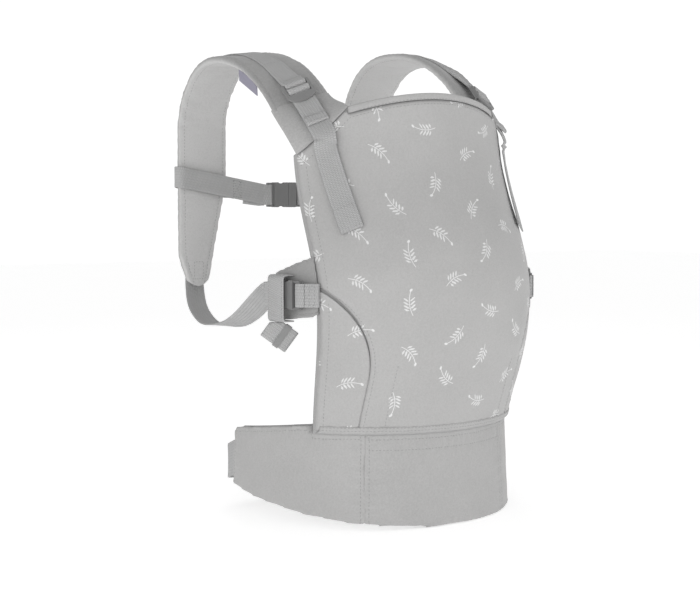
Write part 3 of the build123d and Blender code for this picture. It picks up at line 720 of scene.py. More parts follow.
@dataclass
class Stitching:
    """Rows of stitches that lie on pieces' surfaces."""

    name: str
    body: str
    slot: Slot = Slot.CLOTH
    pitch: float = 0.0040
    length: float = 0.0030
    thread: float = 0.0007
    sink: float = 0.0001
    finish: Thread = Finish.THREAD
    places: list[Matrix] = field(default_factory=list)

    def row(self, tree: BVHTree, points: list[Vector]) -> None:
        """Sews one row.

        Args:
            tree: the surface that it lies on.
            points: the line that it follows, near the surface.
        """
        spare = 0.0
        for a, b in zip(points, points[1:]):
            run = (b - a).length
            while spare < run:
                spot, normal, _, _ = tree.find_nearest(a.lerp(b, spare / run))
                spare += self.pitch
                if spot is None:
                    continue
                way = (b - a).normalized()
                way = (way - normal * way.dot(normal)).normalized()
                turn = Matrix((way, normal.cross(way), normal)).transposed().to_4x4()
                self.places.append(Matrix.Translation(spot - normal * self.sink) @ turn)
            spare -= run

    def box(self, tree: BVHTree, centre: Vector, u: Vector, v: Vector, cross: bool = True) -> None:
        """Sews a rectangle round a centre, u and v from it to the sides, crossed or not."""
        ring = [centre - u - v, centre + u - v, centre + u + v, centre - u + v, centre - u - v]
        self.row(tree, ring)
        if cross:
            self.row(tree, [ring[0], ring[2]])
            self.row(tree, [ring[1], ring[3]])

    def done(self) -> bpy.types.Object:
        """Finishes the rows as one piece: copies of one stitch, set along them."""
        stitch = bmesh.new()
        bmesh.ops.create_uvsphere(stitch, u_segments=6, v_segments=4, radius=0.5,
                                  matrix=Matrix.Diagonal((self.length, self.thread, self.thread * 0.8, 1)))
        shape = np.array([(*v.co, 1.0) for v in stitch.verts])
        faces = [[v.index for v in face.verts] for face in stitch.faces]
        stitch.free()
        points = np.concatenate([shape @ np.array(place).T for place in self.places])[:, :3]
        starts = range(0, len(points), len(shape))
        mesh = bpy.data.meshes.new(self.name)
        corners = [[start + i for i in face] for start in starts for face in faces]
        mesh.from_pydata(points.tolist(), [], corners)
        copies = bmesh.new()
        copies.from_mesh(mesh)
        bpy.data.meshes.remove(mesh)
        return make_piece(copies, self.name, self.finish, (), self.body)


def webbing(name: str, stations: list[Station], size: tuple[float, float], node: str, body: str = "carrier",
            finish: Webbing = Finish.WEBBING) -> bpy.types.Object:
    """Makes one strip of webbing as a piece.

    Args:
        name: the piece's name.
        stations: its sections.
        size: full width and thickness.
        node: the CAD node that it stands for.
        body: the CAD body that it rides on.
        finish: its finish.

    Returns:
        The piece.
    """
    return make_piece(strip(stations, *size), name, finish, [node], body)


# --- padded pieces ------------------------------------------------------------------------------

@dataclass
class Pad:
    """A stuffed piece: starts thinner than its CAD solid, swells under pressure and keeps inside it."""

    node: str
    thin: Vector
    voxel: float = 0.0035
    shrink: float = 0.003
    allow: float = 0.0002
    pressure: float = 4.0
    frames: int = 20
    overshoot: float = 1.35
    quick_shrink: float = 0.0008
    narrow: float = 0.35
    narrow_blend: float = 0.4
    fill: float = 0.6
    finish: Cloth = Finish.CLOTH

    def puffed(self) -> bpy.types.Object:
        """Builds the pad and swells it by cloth simulation.

        Returns:
            The piece, still plain on its broad faces.
        """
        bm = bmesh.new()
        bm.from_mesh(frame["nodes"][self.node].data)
        bmesh.ops.remove_doubles(bm, verts=bm.verts, dist=CAD_MERGE)
        piece = make_piece(bm, f"{self.node}_pad", self.finish, [self.node])
        modifier(piece, "REMESH", mode="VOXEL", voxel_size=self.voxel, use_smooth_shade=True)
        bake_modifiers(piece)
        mesh = piece.data
        skin = cad_tree(self.node)
        rest = np.array([tuple(skin.find_nearest(vertex.co)[0]) for vertex in mesh.vertices])
        set_coordinates(mesh, rest)
        normals = directions(mesh)
        broad = np.clip((self.broad(rest, normals) - self.narrow) / self.narrow_blend, 0, 1)
        depth = self.shrink
        start = rest - normals * (depth * broad)[:, None]
        set_coordinates(mesh, start)
        self.swell(piece, start, broad)
        self.hold_in(piece)
        modifier(piece, "SMOOTH", factor=0.5, iterations=3)
        modifier(piece, "SUBSURF", levels=1, render_levels=1)
        bake_modifiers(piece)
        return piece

    def broad(self, points: np.ndarray, normals: np.ndarray) -> np.ndarray:
        """How far each vertex faces along the pad's thickness, from 0 to 1."""
        return np.abs(normals @ np.array(self.thin.normalized()))

    def swell(self, piece: bpy.types.Object, start: np.ndarray, broad: np.ndarray) -> None:
        """Runs the cloth under pressure and caps how far it moves.

        Args:
            piece: the pad.
            start: its vertices before.
            broad: how free each vertex is; the narrow sides stay sewn.
        """
        sewn = piece.vertex_groups.new(name="sewn")
        for index in np.nonzero(broad < 0.05)[0]:
            sewn.add([int(index)], 1.0, "REPLACE")
        cloth = piece.modifiers.new("cloth", "CLOTH")
        cloth.settings.use_pressure = True
        cloth.settings.uniform_pressure_force = self.pressure
        cloth.settings.effector_weights.gravity = 0.0
        cloth.settings.vertex_group_mass = "sewn"
        cloth.settings.quality = 4
        cloth.point_cache.frame_end = self.frames
        scene = bpy.context.scene
        for number in range(1, self.frames + 1):
            scene.frame_set(number)
        evaluated = piece.evaluated_get(bpy.context.evaluated_depsgraph_get())
        moved = coordinates(evaluated.data) - start
        piece.modifiers.clear()
        scene.frame_set(1)
        size = np.linalg.norm(moved, axis=1, keepdims=True)
        cap = self.shrink * self.overshoot
        set_coordinates(piece.data, start + moved * np.minimum(1.0, cap / np.maximum(size, 1e-9)))

    def hold_in(self, piece: bpy.types.Object) -> None:
        """Pushes back whatever stands out of the CAD solid, so that neighbours stay clear."""
        tree = cad_tree(self.node)
        for vertex in piece.data.vertices:
            spot, normal, _, _ = tree.find_nearest(vertex.co)
            out = (vertex.co - spot).dot(normal)
            if out > self.allow:
                vertex.co -= normal * (out - self.allow)
        piece.data.update()


def lumps(point: Vector, *sizes: tuple[float, float]) -> float:
    """Unevenness at a point: layers of noise, each with its scale per metre and its height."""
    return sum(noise.noise(point * scale) * height for scale, height in sizes)


def press(piece: bpy.types.Object, lines: list[list[Vector]], width: float, depth: float,
          pucker: float = 0.0) -> None:
    """Draws a piece's surface in along seam lines.

    Args:
        piece: the piece.
        lines: the seams.
        width: half the width of the channel.
        depth: its depth.
        pucker: height of the small gathers beside it.
    """
    points, runs = [], []
    for line in lines:
        run = 0.0
        for a, b in zip(line, line[1:]):
            count = max(1, int((b - a).length / SEAM_SAMPLE))
            points += [a.lerp(b, k / count) for k in range(count)]
            runs += [run + (b - a).length * k / count for k in range(count)]
            run += (b - a).length
    tree = point_tree(points)
    mesh = piece.data
    places, normals = coordinates(mesh), directions(mesh)
    found = [tree.find(vertex.co) for vertex in mesh.vertices]
    near = np.array([gap for _, _, gap in found])
    length = np.array([runs[i] for _, i, _ in found])
    channel = np.clip(1 - (near / width) ** 2, 0, 1) ** 2
    beside = np.clip(1 - near / (5 * width), 0, 1) * np.clip(near / width, 0, 1)
    wave = np.sin(length * math.tau / GATHER_PITCH + 2.2 * np.sin(length * 55))
    move = -depth * channel + pucker * wave * beside
    set_coordinates(mesh, places + normals * move[:, None])


# --- sub-assemblies -----------------------------------------------------------------------------

def mirrored(edge: Callable[[float], float]) -> Callable[[float], float]:
    """The same edge on the left side, by height."""
    return lambda z: -edge(z)


@dataclass
class Panel:
    """The bulging front panel: printed cloth, side gussets, rolled hem, lining and seam strip."""

    front: float = 0.141
    belly: float = 0.064
    belly_height: float = 0.245
    spread_below: float = 0.145
    spread_above: float = 0.122
    foot: float = 0.102
    top: float = 0.463
    foot_radius: float = 0.163
    top_radius: float = 0.155
    half_width: float = 0.139
    foot_half_width: float = 0.130
    corner: tuple = (0.1365, 0.396)
    neck: tuple = (0.096, 0.447)
    hem: float = 0.008
    gusset: float = 0.098
    gusset_turn: float = 0.160
    gusset_top: float = 0.255
    cover: float = 0.003
    cell: float = 0.0026
    dart: tuple = (0.073, 0.178)
    tuck: float = 0.0035
    neck_share: float = 0.200
    neck_blend: float = 0.012
    bare_edge: float = 0.0008
    cloth: float = 0.0014

    def radius(self, z: float) -> float:
        """Plan radius at a height."""
        share = (z - self.foot) / (self.top - self.foot)
        return self.foot_radius + (self.top_radius - self.foot_radius) * share

    def axis_y(self, z: float) -> float:
        """Y of the plan arc's middle at a height."""
        spread = self.spread_below if z < self.belly_height else self.spread_above
        bulge = self.belly * math.exp(-((z - self.belly_height) / spread) ** 2)
        return self.radius(z) - self.front - bulge

    def point(self, x: float, z: float, lift: float = 0.0) -> Vector:
        """A point of the outer face, lifted off it."""
        r = self.radius(z) + lift
        return Vector((x, self.axis_y(z) - math.sqrt(max(r * r - x * x, 0.0)), z))

    def edge(self, z: float) -> float:
        """Half width of the panel at a height below its corners."""
        mid, high = (self.foot + self.corner[1]) / 2, self.corner[1]
        t = (z - mid) / (high - mid)
        a, b, c = self.foot_half_width, self.half_width, self.corner[0]
        return b + (c - a) / 2 * t + ((a + c) / 2 - b) * t * t

    def seam(self, z: float) -> float:
        """Half width of the front cloth: the gusset seam, then the panel's edge."""
        if z <= self.gusset_turn:
            return self.gusset
        if z >= self.gusset_top:
            return self.edge(z)
        rise, run = self.gusset_top - self.gusset_turn, self.edge(self.gusset_top) - self.gusset
        r = (rise * rise + run * run) / (2 * run)
        return min(self.gusset + r - math.sqrt(max(r * r - (z - self.gusset_turn) ** 2, 0.0)), self.edge(z))

    def crown(self, s: float, drop: float) -> tuple[float, float]:
        """A point of the top edge, or of a line below it.

        Args:
            s: from 0 at the left corner to 1 at the right one.
            drop: how far below.

        Returns:
            X and Z.
        """
        slope = math.hypot(self.corner[0] - self.neck[0], self.neck[1] - self.corner[1])
        rise = self.top - self.neck[1]
        r = (rise * rise + self.neck[0] ** 2) / (2 * rise)
        reach = math.asin(self.neck[0] / r)
        total = 2 * slope + 2 * r * reach
        run, side = (s if s < 0.5 else 1 - s) * total, (-1 if s < 0.5 else 1)
        if run < slope:
            t = run / slope
            x = self.corner[0] + (self.neck[0] - self.corner[0]) * t
            return side * x, self.corner[1] + (self.neck[1] - self.corner[1]) * t - drop
        a = reach - (run - slope) / r
        return side * r * math.sin(a), self.top - r + r * math.cos(a) - drop

    def patch(self, left: Callable, right: Callable, low: float, crown_drop: float | None, high: float,
              roll: float, lift: float, lining: bool = False) -> bmesh.types.BMesh:
        """One cut of cloth, sewn in all round.

        Args:
            left: half width of its left edge, signed, by height.
            right: the same for its right edge.
            low: height of its lower edge.
            crown_drop: how far below the top edge it ends, or None for a level upper edge.
            high: height of its upper corners.
            roll: how deep its edges roll in to the seam.
            lift: how far off the outer face it lies.
            lining: whether it faces inwards.

        Returns:
            The mesh.
        """
        span = abs(right((low + high) / 2) - left((low + high) / 2)) * 1.15
        columns, rows = max(10, round(span / self.cell)), max(6, round((high - low) * 1.1 / self.cell))

        def flat(s: float, t: float) -> tuple[float, float]:
            """X and Z of the cut before it bulges, blended from its four edges."""
            z = low + (high - low) * t
            x = left(z) * (1 - s) + right(z) * s
            if crown_drop is None:
                return x, z
            drop = crown_drop
            if drop:
                past_neck = (min(s, 1 - s) - self.neck_share + self.neck_blend) / self.neck_blend
                drop = self.bare_edge + (drop - self.bare_edge) * min(1.0, max(0.0, past_neck))
            top_x, top_z = self.crown(s, drop)
            head = left(high) + (right(high) - left(high)) * s
            return x + (top_x - head) * t, z + (top_z - high) * t

        def place(s: float, t: float) -> Spot:
            """A point of the cloth, with its place in the print."""
            x, z = flat(s, t)
            rim = min(s * span, (1 - s) * span, t * (high - low), (1 - t) * (high - low))
            edge = max(0.0, 1 - rim / 0.0035) ** 2
            ripple = max(0.0, 1 - rim / 0.016) * min(1.0, rim / 0.003)
            spot = Vector((x * 9, 0.3, z * 9))
            waves = 0.0026 * noise.noise(spot) + 0.0011 * noise.noise(spot * 3.1)
            dart = max(0.0, 1 - abs(abs(x) - self.dart[0]) / 0.003) * (z < self.dart[1])
            folds = math.sin((x + z) * math.tau / 0.011 + 2 * math.sin(z * 50))
            gathers = 0.00045 * folds * ripple - 0.0008 * dart
            sway = waves * min(1.0, rim / 0.03)
            out = sway * 0.4 - lift if lining else lift + sway + gathers - roll * edge
            return self.point(x, z, out), self.radius(z) * math.asin(x / self.radius(z)), z

        return grid(columns, rows, place, ("print_u", "print_v"))

    def build(self) -> None:
        """Makes the panel's pieces."""
        low = self.foot + self.tuck
        front = self.patch(mirrored(self.seam), self.seam, low, self.hem, self.corner[1] - self.hem, 0.0009,
                           -0.0004)
        cloth = make_piece(front, "panel_front_cloth", Finish.PRINTED, ["front_panel"])
        self.backed(cloth, self.cloth)
        sewing = Stitching("panel_stitches", "carrier")
        tree = piece_tree(cloth)
        heights = [self.foot + 0.006 + 0.004 * k for k in range(70)]
        inner = [z for z in heights if z < self.gusset_top - 0.004]
        upper = [self.gusset_top + 0.004 * k for k in range(33)]
        wide = [z for z in inner if self.edge(z) - self.seam(z) > 0.01]
        for side, hand in SIDES:
            edges = (self.seam, self.edge) if side > 0 else (mirrored(self.edge), mirrored(self.seam))
            gusset = self.patch(*edges, low, None, self.gusset_top, 0.0009, -0.0005)
            side_cloth = make_piece(gusset, f"{hand}_gusset_cloth", Finish.PRINTED, [f"{hand}_panel_gusset"])
            self.backed(side_cloth, self.cloth)
            dart = side * (self.dart[0] + 0.0022)
            sewing.row(tree, [self.point(side * (self.seam(z) - 0.0035), z) for z in inner])
            sewing.row(tree, [self.point(dart, z) for z in heights if z < self.dart[1]])
            sewing.row(tree, [self.point(side * (self.edge(z) - 0.0045), z) for z in upper])
            sewing.row(piece_tree(side_cloth), [self.point(side * (self.edge(z) - 0.0045), z) for z in wide])
        hem = self.rolled_hem()
        crown = [self.crown(0.005 + 0.99 * k / 120, self.hem + 0.0035) for k in range(121)]
        sewing.row(tree, [self.point(x, z) for x, z in crown])
        sewing.row(piece_tree(hem), [self.point(x, z + 0.0055, 0.001) for x, z in crown[26:-26]])
        sewing.done()
        self.seam_strip()
        inside = self.patch(mirrored(self.edge), self.edge, self.foot - 0.0016, 0.0, self.corner[1], 0.0006,
                            0.0041, True)
        lining = make_piece(inside, "panel_lining_cloth", Finish.LINING, ["panel_lining"])
        modifier(lining, "SOLIDIFY", thickness=0.0008, offset=0.0, use_rim=True)

    @staticmethod
    def backed(piece: bpy.types.Object, thickness: float) -> None:
        """Gives a cut of cloth its thickness, inwards."""
        modifier(piece, "SOLIDIFY", thickness=thickness, offset=-1.0, use_rim=True)

    def rolled_hem(self) -> bpy.types.Object:
        """The hem that rolls over the top edge and the sloping corners."""
        def place(s: float, t: float) -> Spot:
            """A point round the roll: up the front, over the edge and down the back."""
            a = math.pi * (t * 1.5 - 0.25)
            thick = 0.0021 * min(1.0, 0.3 + 30 * min(s, 1 - s))
            drop = self.hem * (0.5 - 0.5 * math.sin(a))
            x, z = self.crown(self.neck_share + (1 - 2 * self.neck_share) * s, drop)
            round_it = math.copysign(abs(math.cos(a)) ** 0.35, math.cos(a))
            lift = -self.cover / 2 - 0.001 + thick * round_it * (0.9 if t < 0.5 else 1.0)
            pucker = 0.0003 * math.sin(s * 260) * math.sin(math.pi * t)
            return self.point(x, z, lift + pucker), s, t

        hem = grid(150, 14, place, ("print_u", "print_v"))
        return make_piece(hem, "top_hem_roll", Finish.CLOTH, ["top_hem"])

    def seam_strip(self) -> bpy.types.Object:
        """The narrow band that covers the seam to the belt."""
        half, tall = self.foot_half_width - 0.0014, 0.008

        def place(s: float, t: float) -> Spot:
            """A point of the band."""
            x, z = half * (2 * s - 1), self.foot - 0.0008 + (tall + 0.0008) * t
            puff = 0.0002 * (4 * t * (1 - t)) ** 0.5 - 0.0030 * max(0.0, 1 - t * 2.4) ** 2
            return self.point(x, z, puff + 0.0001 * math.sin(s * 300)), x, z

        bm = grid(110, 8, place, ("print_u", "print_v"))
        band = make_piece(bm, "belt_seam_band", Finish.CLOTH, ["belt_seam_strip"])
        self.backed(band, 0.0009)
        sewing = Stitching("belt_seam_stitches", "carrier")
        tree = piece_tree(band)
        for z in (self.foot + 0.0034, self.foot + 0.0066):
            sewing.row(tree, [self.point(half * (k / 60 - 1) * 0.985, z, 0.001) for k in range(121)])
        sewing.done()
        return band


@dataclass
class Belt:
    """The padded waistbelt: a middle, two wings and their lining."""

    radius: float = 0.163
    flare: float = 0.005
    height: float = 0.102
    seam_angle: float = 34.0
    half_angle: float = 100.0
    thickness: float = 0.014
    seam_in: float = 1.6
    seam_reach: float = 3.0

    def face(self, angle: float, z: float, lift: float = 0.0) -> Vector:
        """A point of the outer face, at an angle in degrees from the front."""
        r = self.radius + self.flare * (1 - z / self.height) + lift
        a = math.radians(angle)
        return Vector((r * math.sin(a), -r * math.cos(a), z))

    def edges(self, node: str, angle: float, depth: float) -> tuple[float, float] | None:
        """Finds the edges of a belt node.

        Args:
            node: the node.
            angle: in degrees from the front.
            depth: how far under the outer face to look.

        Returns:
            The heights of its lower and upper edge there, or None past its end.
        """
        heights = []
        for way, z in ((1, 0.0), (-1, 0.1)):
            start = self.face(angle, z, -depth)
            start.z -= way * 0.1
            heights.append(cad_tree(node).ray_cast(start, UP * way)[0])
        return (heights[0].z, heights[1].z) if all(heights) else None

    def build(self) -> None:
        """Makes the belt's pads, stitching and lining."""
        sewing = Stitching("belt_stitches", "carrier")
        for node, low, high in (("belt_middle", -self.seam_angle, self.seam_angle),
                                ("left_belt_wing", -self.half_angle, -self.seam_angle),
                                ("right_belt_wing", self.seam_angle, self.half_angle)):
            thin = self.face((low + high) / 2, 0.05) * Vector((1, 1, 0))
            piece = BeltPad(node, thin, shrink=0.0025, allow=0.0008, fill=0.55).puffed()
            angles = [low + self.seam_in + (high - low - 2 * self.seam_in) * k / 60 for k in range(61)]
            spans = {a: self.edges(node, a, 0.0055) for a in angles}
            angles = [a for a in angles if spans[a]]
            self.close_seams(piece, low, high)
            lines = []
            for end in (angles[0], angles[-1]):
                z0, z1 = spans[end]
                lines.append([self.face(end, z0 + 0.001 + (z1 - z0 - 0.002) * k / 20) for k in range(21)])
            if node == "belt_middle":
                lines += [[self.face(a, self.height - drop) for a in angles] for drop in (0.006, 0.0175)]
            else:
                lines.append([self.face(a, spans[a][1] - 0.006) for a in angles])
            press(piece, lines, 0.0034, 0.0008, 0.0003)
            self.crumple(piece)
            tree = piece_tree(piece)
            for line in lines:
                sewing.row(tree, line)
        sewing.done()
        self.lining()

    def close_seams(self, piece: bpy.types.Object, low: float, high: float) -> None:
        """Draws a pad's ends up against their seams.

        Args:
            piece: the pad.
            low: angle of its first end.
            high: angle of its last end.
        """
        for vertex in piece.data.vertices:
            angle = math.degrees(math.atan2(vertex.co.x, -vertex.co.y))
            for end, way in ((low, -1), (high, 1)):
                gap = abs(angle - end)
                if gap < self.seam_reach and abs(end) < self.half_angle - 1:
                    turn = Matrix.Rotation(math.radians(way * 0.52 * (1 - gap / self.seam_reach)), 3, "Z")
                    vertex.co = turn @ vertex.co
        piece.data.update()

    @staticmethod
    def crumple(piece: bpy.types.Object) -> None:
        """Gives the cloth over the padding its soft unevenness."""
        mesh = piece.data
        places, normals = coordinates(mesh), directions(mesh)
        uneven = np.array([lumps(Vector(p), (22, 0.0011), (60, 0.0004)) for p in places])
        set_coordinates(mesh, places + normals * (uneven - 0.0004)[:, None])

    def lining(self) -> None:
        """The two halves of the lining, which follow the padding's inner face."""
        for side, hand in SIDES:
            node = f"{hand}_belt_lining"

            def place(s: float, t: float) -> Spot:
                """A point of the lining."""
                angle = side * (0.3 + (self.half_angle - 0.9) * s)
                inside = self.thickness - 0.0015
                ends = self.edges(node, angle, inside) or (0.033, 0.094)
                z = ends[0] + 0.0006 + (ends[1] - ends[0] - 0.0012) * t
                rim = min(t, 1 - t) * 4
                quilt = 0.0022 * min(1.0, rim) ** 0.5 + 0.0008 * noise.noise(Vector((angle * 0.2, z * 40, 2)))
                return self.face(angle, z, -inside - quilt), angle * 0.003, z

            bm = grid(90, 24, place)
            piece = make_piece(bm, f"{hand}_belt_lining_cloth", Finish.LINING, [node])
            modifier(piece, "SOLIDIFY", thickness=0.0016, offset=0.0, use_rim=True)


class BeltPad(Pad):
    """A pad that curves round the torso axis, so its thickness runs along the radius."""

    def broad(self, points: np.ndarray, normals: np.ndarray) -> np.ndarray:
        """How far each vertex faces along the radius."""
        flat = points[:, :2] / np.linalg.norm(points[:, :2], axis=1, keepdims=True)
        return np.abs((normals[:, :2] * flat).sum(1))


class StrapPad(Pad):
    """A pad that arches in a plane of constant X, so its narrow sides face along X."""

    def broad(self, points: np.ndarray, normals: np.ndarray) -> np.ndarray:
        """How far each vertex faces away from X."""
        return np.sqrt(np.clip(1 - normals[:, 0] ** 2, 0, 1))


@dataclass
class StrapLine:
    """The line of one shoulder strap, from its tip up over the arch to its front end."""

    side: int
    height: float
    x: float = 0.118
    rear_y: float = 0.182
    roll: float = 5.0
    radius: float = 0.085
    turn: float = 85.0
    front: tuple = (0.118, -0.054, 0.448)
    slew: tuple = (0.064, -0.023, 0.021)

    def arch(self, angle: float) -> Station:
        """Section at an angle round the arch; across runs to +X and up off the outer face."""
        a, roll = math.radians(angle), math.radians(self.roll)
        across = Vector((math.cos(roll), -self.side * math.sin(roll) * math.cos(a),
                         -self.side * math.sin(roll) * math.sin(a)))
        y = self.rear_y - self.radius
        centre = Vector((self.side * self.x, y + self.radius * math.cos(a),
                         self.height + self.radius * math.sin(a)))
        return Station(centre, Vector((0, -math.sin(a), math.cos(a))), across)

    def run(self, share: float) -> Station:
        """Section of the front run: share 0 at the arch, 1 at the front end."""
        turn, y = math.radians(self.turn), self.rear_y - self.radius
        dy, dz = self.front[1] - y, self.front[2] - self.height
        along = dy * math.cos(turn) + dz * math.sin(turn)
        squares = dy * dy + dz * dz - 2 * self.radius * along + self.radius ** 2
        radius = squares / (2 * (self.radius - along))
        middle_y = y + (self.radius - radius) * math.cos(turn)
        middle_z = self.height + (self.radius - radius) * math.sin(turn)
        last = math.atan2(self.front[2] - middle_z, self.front[1] - middle_y)
        a = turn + (last - turn) * share
        start = self.arch(self.turn).across
        final = Vector((self.slew[0], -self.side * self.slew[1], -self.side * self.slew[2])).normalized()
        across = start + (final - start) * share
        onward = Vector((0, -math.sin(a), math.cos(a)))
        onward = (onward - across * (onward.dot(across) / across.dot(across))).normalized()
        centre = Vector((self.side * self.x, middle_y + radius * math.cos(a),
                         middle_z + radius * math.sin(a)))
        return Station(centre, onward, across.normalized())

    def hanging(self, z: float) -> Station:
        """Section of the hanging part at a height."""
        station = self.arch(0.0)
        station.centre.z = z
        return station

    def whole(self, low: float = 0.25) -> list[Station]:
        """Sections from a height on the hanging part to the front end."""
        count = int((self.height - low) / 0.006)
        row = [self.hanging(low + (self.height - low) * k / count) for k in range(count)]
        row += [self.arch(self.turn * k / 22) for k in range(22)]
        return row + [self.run(k / 20) for k in range(21)]


@dataclass
class ShoulderStrap:
    """One padded shoulder strap with its yoke, band, ladder lock and adjuster."""

    side: int
    hand: str
    height: float
    panel: Panel
    thickness: float = 0.016
    width: float = 0.068
    edge_seam: float = 0.0065
    taper: float = 0.026
    band_width: float = 0.024
    web: float = WEB_WIDTH
    web_thickness: float = WEB_THICKNESS
    loop_radius: float = 0.0039
    lock_lift: float = 0.0048
    lock_back: float = 0.023
    lock_pitch: float = 0.009
    adjuster_x: float = 0.112
    adjuster_end: float = 0.318
    lead_share: float = 0.4
    lead_lift: float = 0.007
    tail_sections: int = 19

    def __post_init__(self) -> None:
        """Works out the strap's line and the ladder lock's seat."""
        self.line = StrapLine(self.side, self.height)
        end = self.line.run(1.0)
        rear = end.point(0, self.thickness / 2 + self.lock_lift) - end.onward * self.lock_back
        ahead = self.corner(self.lead_share, self.lead_lift + self.loop_radius)
        self.onward = (ahead - rear).normalized()
        self.seat = rear + self.onward * self.lock_pitch
        self.out = (end.up - self.onward * end.up.dot(self.onward)).normalized()
        self.across = self.out.cross(self.onward)
        self.inner = self.loop_radius - self.web_thickness / 2
        self.size = (self.web, self.web_thickness)

    def corner(self, share: float, lift: float) -> Vector:
        """A point of the panel's sloping corner: share 0 is its lower end, 1 its upper end."""
        (x0, z0), (x1, z1) = self.panel.corner, self.panel.neck
        return self.panel.point(self.side * (x0 + (x1 - x0) * share), z0 + (z1 - z0) * share, lift)

    def at(self, x: float, lift: float) -> Vector:
        """A point in the ladder lock's side view."""
        return self.seat + self.onward * x + self.out * lift

    def build(self) -> None:
        """Makes the strap's pieces."""
        node = f"{self.hand}_shoulder_strap"
        pad = StrapPad(node, Vector((0, 1, 0)), shrink=0.0035, allow=0.0, fill=0.65,
                       finish=Finish.STRAP).puffed()
        path = self.line.whole()
        self.shape(pad)
        tree = cad_tree(node)
        lines = [self.edge_line(tree, path, lift, way) for lift in (1, -1) for way in (1, -1)]
        press(pad, lines, 0.0034, 0.0014, 0.0002)
        self.paint_face_light(pad)
        surface = piece_tree(pad)
        sewing = Stitching(f"{self.hand}_strap_stitches", "carrier")
        for line in lines:
            sewing.row(surface, line)
        x, y, z = self.side * 0.1260, self.line.rear_y - 0.009, 0.2635
        turns = ((-1, -1), (1, -1), (1, 1), (-1, 1), (-1, -1))
        ring = [Vector((x + a * 0.0065, y, z + b * 0.0105)) for a, b in turns]
        press(pad, [ring], 0.0022, 0.0007)
        sewing.row(piece_tree(pad), ring)
        self.band(sewing, surface)
        self.yoke()
        self.adjuster(sewing)
        sewing.done()
        self.tail()

    def edge_line(self, tree: BVHTree, path: list[Station], lift: int, way: int) -> list[Vector]:
        """The seam along one edge of one face."""
        line = []
        for s in path:
            hit = tree.ray_cast(s.point(way * 0.06, 0), s.across * -way)[0]
            if hit and (hit - s.centre).length < 0.045:
                aside = (hit - s.centre).dot(s.across) - way * self.edge_seam
                line.append(s.point(aside, lift * self.thickness * 0.42))
        return eased(line, 4, 2)

    def shape(self, pad: bpy.types.Object) -> None:
        """Thins the strap towards its front end, and gathers its inner face round the arch."""
        end = self.line.run(1.0)
        middle = Vector((0, self.line.rear_y - self.line.radius, self.height))
        normals = [vertex.normal.copy() for vertex in pad.data.vertices]
        for vertex, normal in zip(pad.data.vertices, normals):
            back = (end.centre - vertex.co).dot(end.onward)
            if back < self.taper and (vertex.co - end.centre).length < 0.06:
                lift = (vertex.co - end.centre).dot(end.up)
                vertex.co -= end.up * lift * 0.55 * (1 - max(back, 0.0) / self.taper) ** 1.4
            arm = vertex.co - middle
            arm.x = 0.0
            angle = math.degrees(math.atan2(arm.z, arm.y))
            if 0.06 < arm.length < self.line.radius and -14 < angle < 70:
                share = max(0.0, 1 - abs(angle - 28) / 42)
                aside = (vertex.co.x - self.side * self.line.x) / (self.width / 2)
                fold = math.sin(math.radians(angle) * 26 + aside * 1.3 + 1.5 * math.sin(vertex.co.x * 90))
                vertex.co += arm.normalized() * (0.0011 * share * fold * (0.4 + 0.6 * abs(aside)))
            vertex.co += normal * (lumps(vertex.co, (32, 0.0006), (75, 0.00025)) - 0.0004)
        pad.data.update()

    def paint_face_light(self, pad: bpy.types.Object) -> None:
        """Paints light on the strap's inner face and shade on its outer face, through the "face" number that
        the cloth reads.
        """
        mesh = pad.data
        path = self.line.whole()
        tree = point_tree([station.centre for station in path])
        face = mesh.attributes.new("face", "FLOAT", "POINT")
        for vertex in mesh.vertices:
            station = path[tree.find(vertex.co)[1]]
            lift = (vertex.co - station.centre).dot(station.up)
            face.data[vertex.index].value = max(-1.0, min(1.0, -lift / 0.002))

    def band(self, sewing: Stitching, surface: BVHTree) -> None:
        """The webbing sewn down the strap's outer face and round the ladder lock's rear bar.

        Args:
            sewing: where its stitches go.
            surface: the strap's skin, which it lies on.
        """
        lift = self.thickness / 2
        rows = [self.line.arch(self.line.turn * (0.9 + 0.025 * k)) for k in range(4)]
        rows += [self.line.run(0.05 + 0.49 * k / 20) for k in range(21)]
        points = []
        for row in rows:
            starts = [row.point(a * self.band_width * 0.45, 0.03) for a in (-1, 0, 1)]
            hits = [surface.ray_cast(start, -row.up)[0] for start in starts]
            seats = [(hit - row.centre).dot(row.up) for hit in hits if hit] or [lift]
            points.append(row.point(0, min(max(seats), lift) + self.web_thickness / 2 + 0.0001))
        points = eased(points, 2, 1)
        wides = [row.across for row in rows]
        r, bar = self.inner, -self.lock_pitch
        ring = ((0, -1), (0.8, -0.7), (1, 0), (0.7, 0.75), (0, 1), (-0.75, 0.7), (-1.1, -0.1), (-1.9, -0.35),
                (-3.4, -0.5))
        spots = [(bar - 0.006, -r * 0.85)] + [(bar + r * a, r * b) for a, b in ring]
        points += flowing([self.at(*spot) for spot in spots], 5)
        wides += [self.across] * (len(points) - len(wides))
        stations = laid(points, wides, 0.0018)
        piece = webbing(f"{self.hand}_strap_band_web", stations, (self.band_width, self.web_thickness),
                        f"{self.hand}_strap_band")
        tree = piece_tree(piece)
        for way in (1, -1):
            sewing.row(tree, [row.point(way * (self.band_width / 2 - 0.0022), lift) for row in rows])
        sewing.row(tree, [rows[-1].point(a * self.band_width * 0.38, lift) for a in (-1, 0, 1)])

    def yoke(self) -> None:
        """The cloth that carries the strap on to the panel's sloping corner."""
        end = self.line.run(1.0)
        count, back = 22, 0.010
        outline = [(k / count, 1) for k in range(count + 1)] + [(1 - k / count, -1) for k in range(count + 1)]

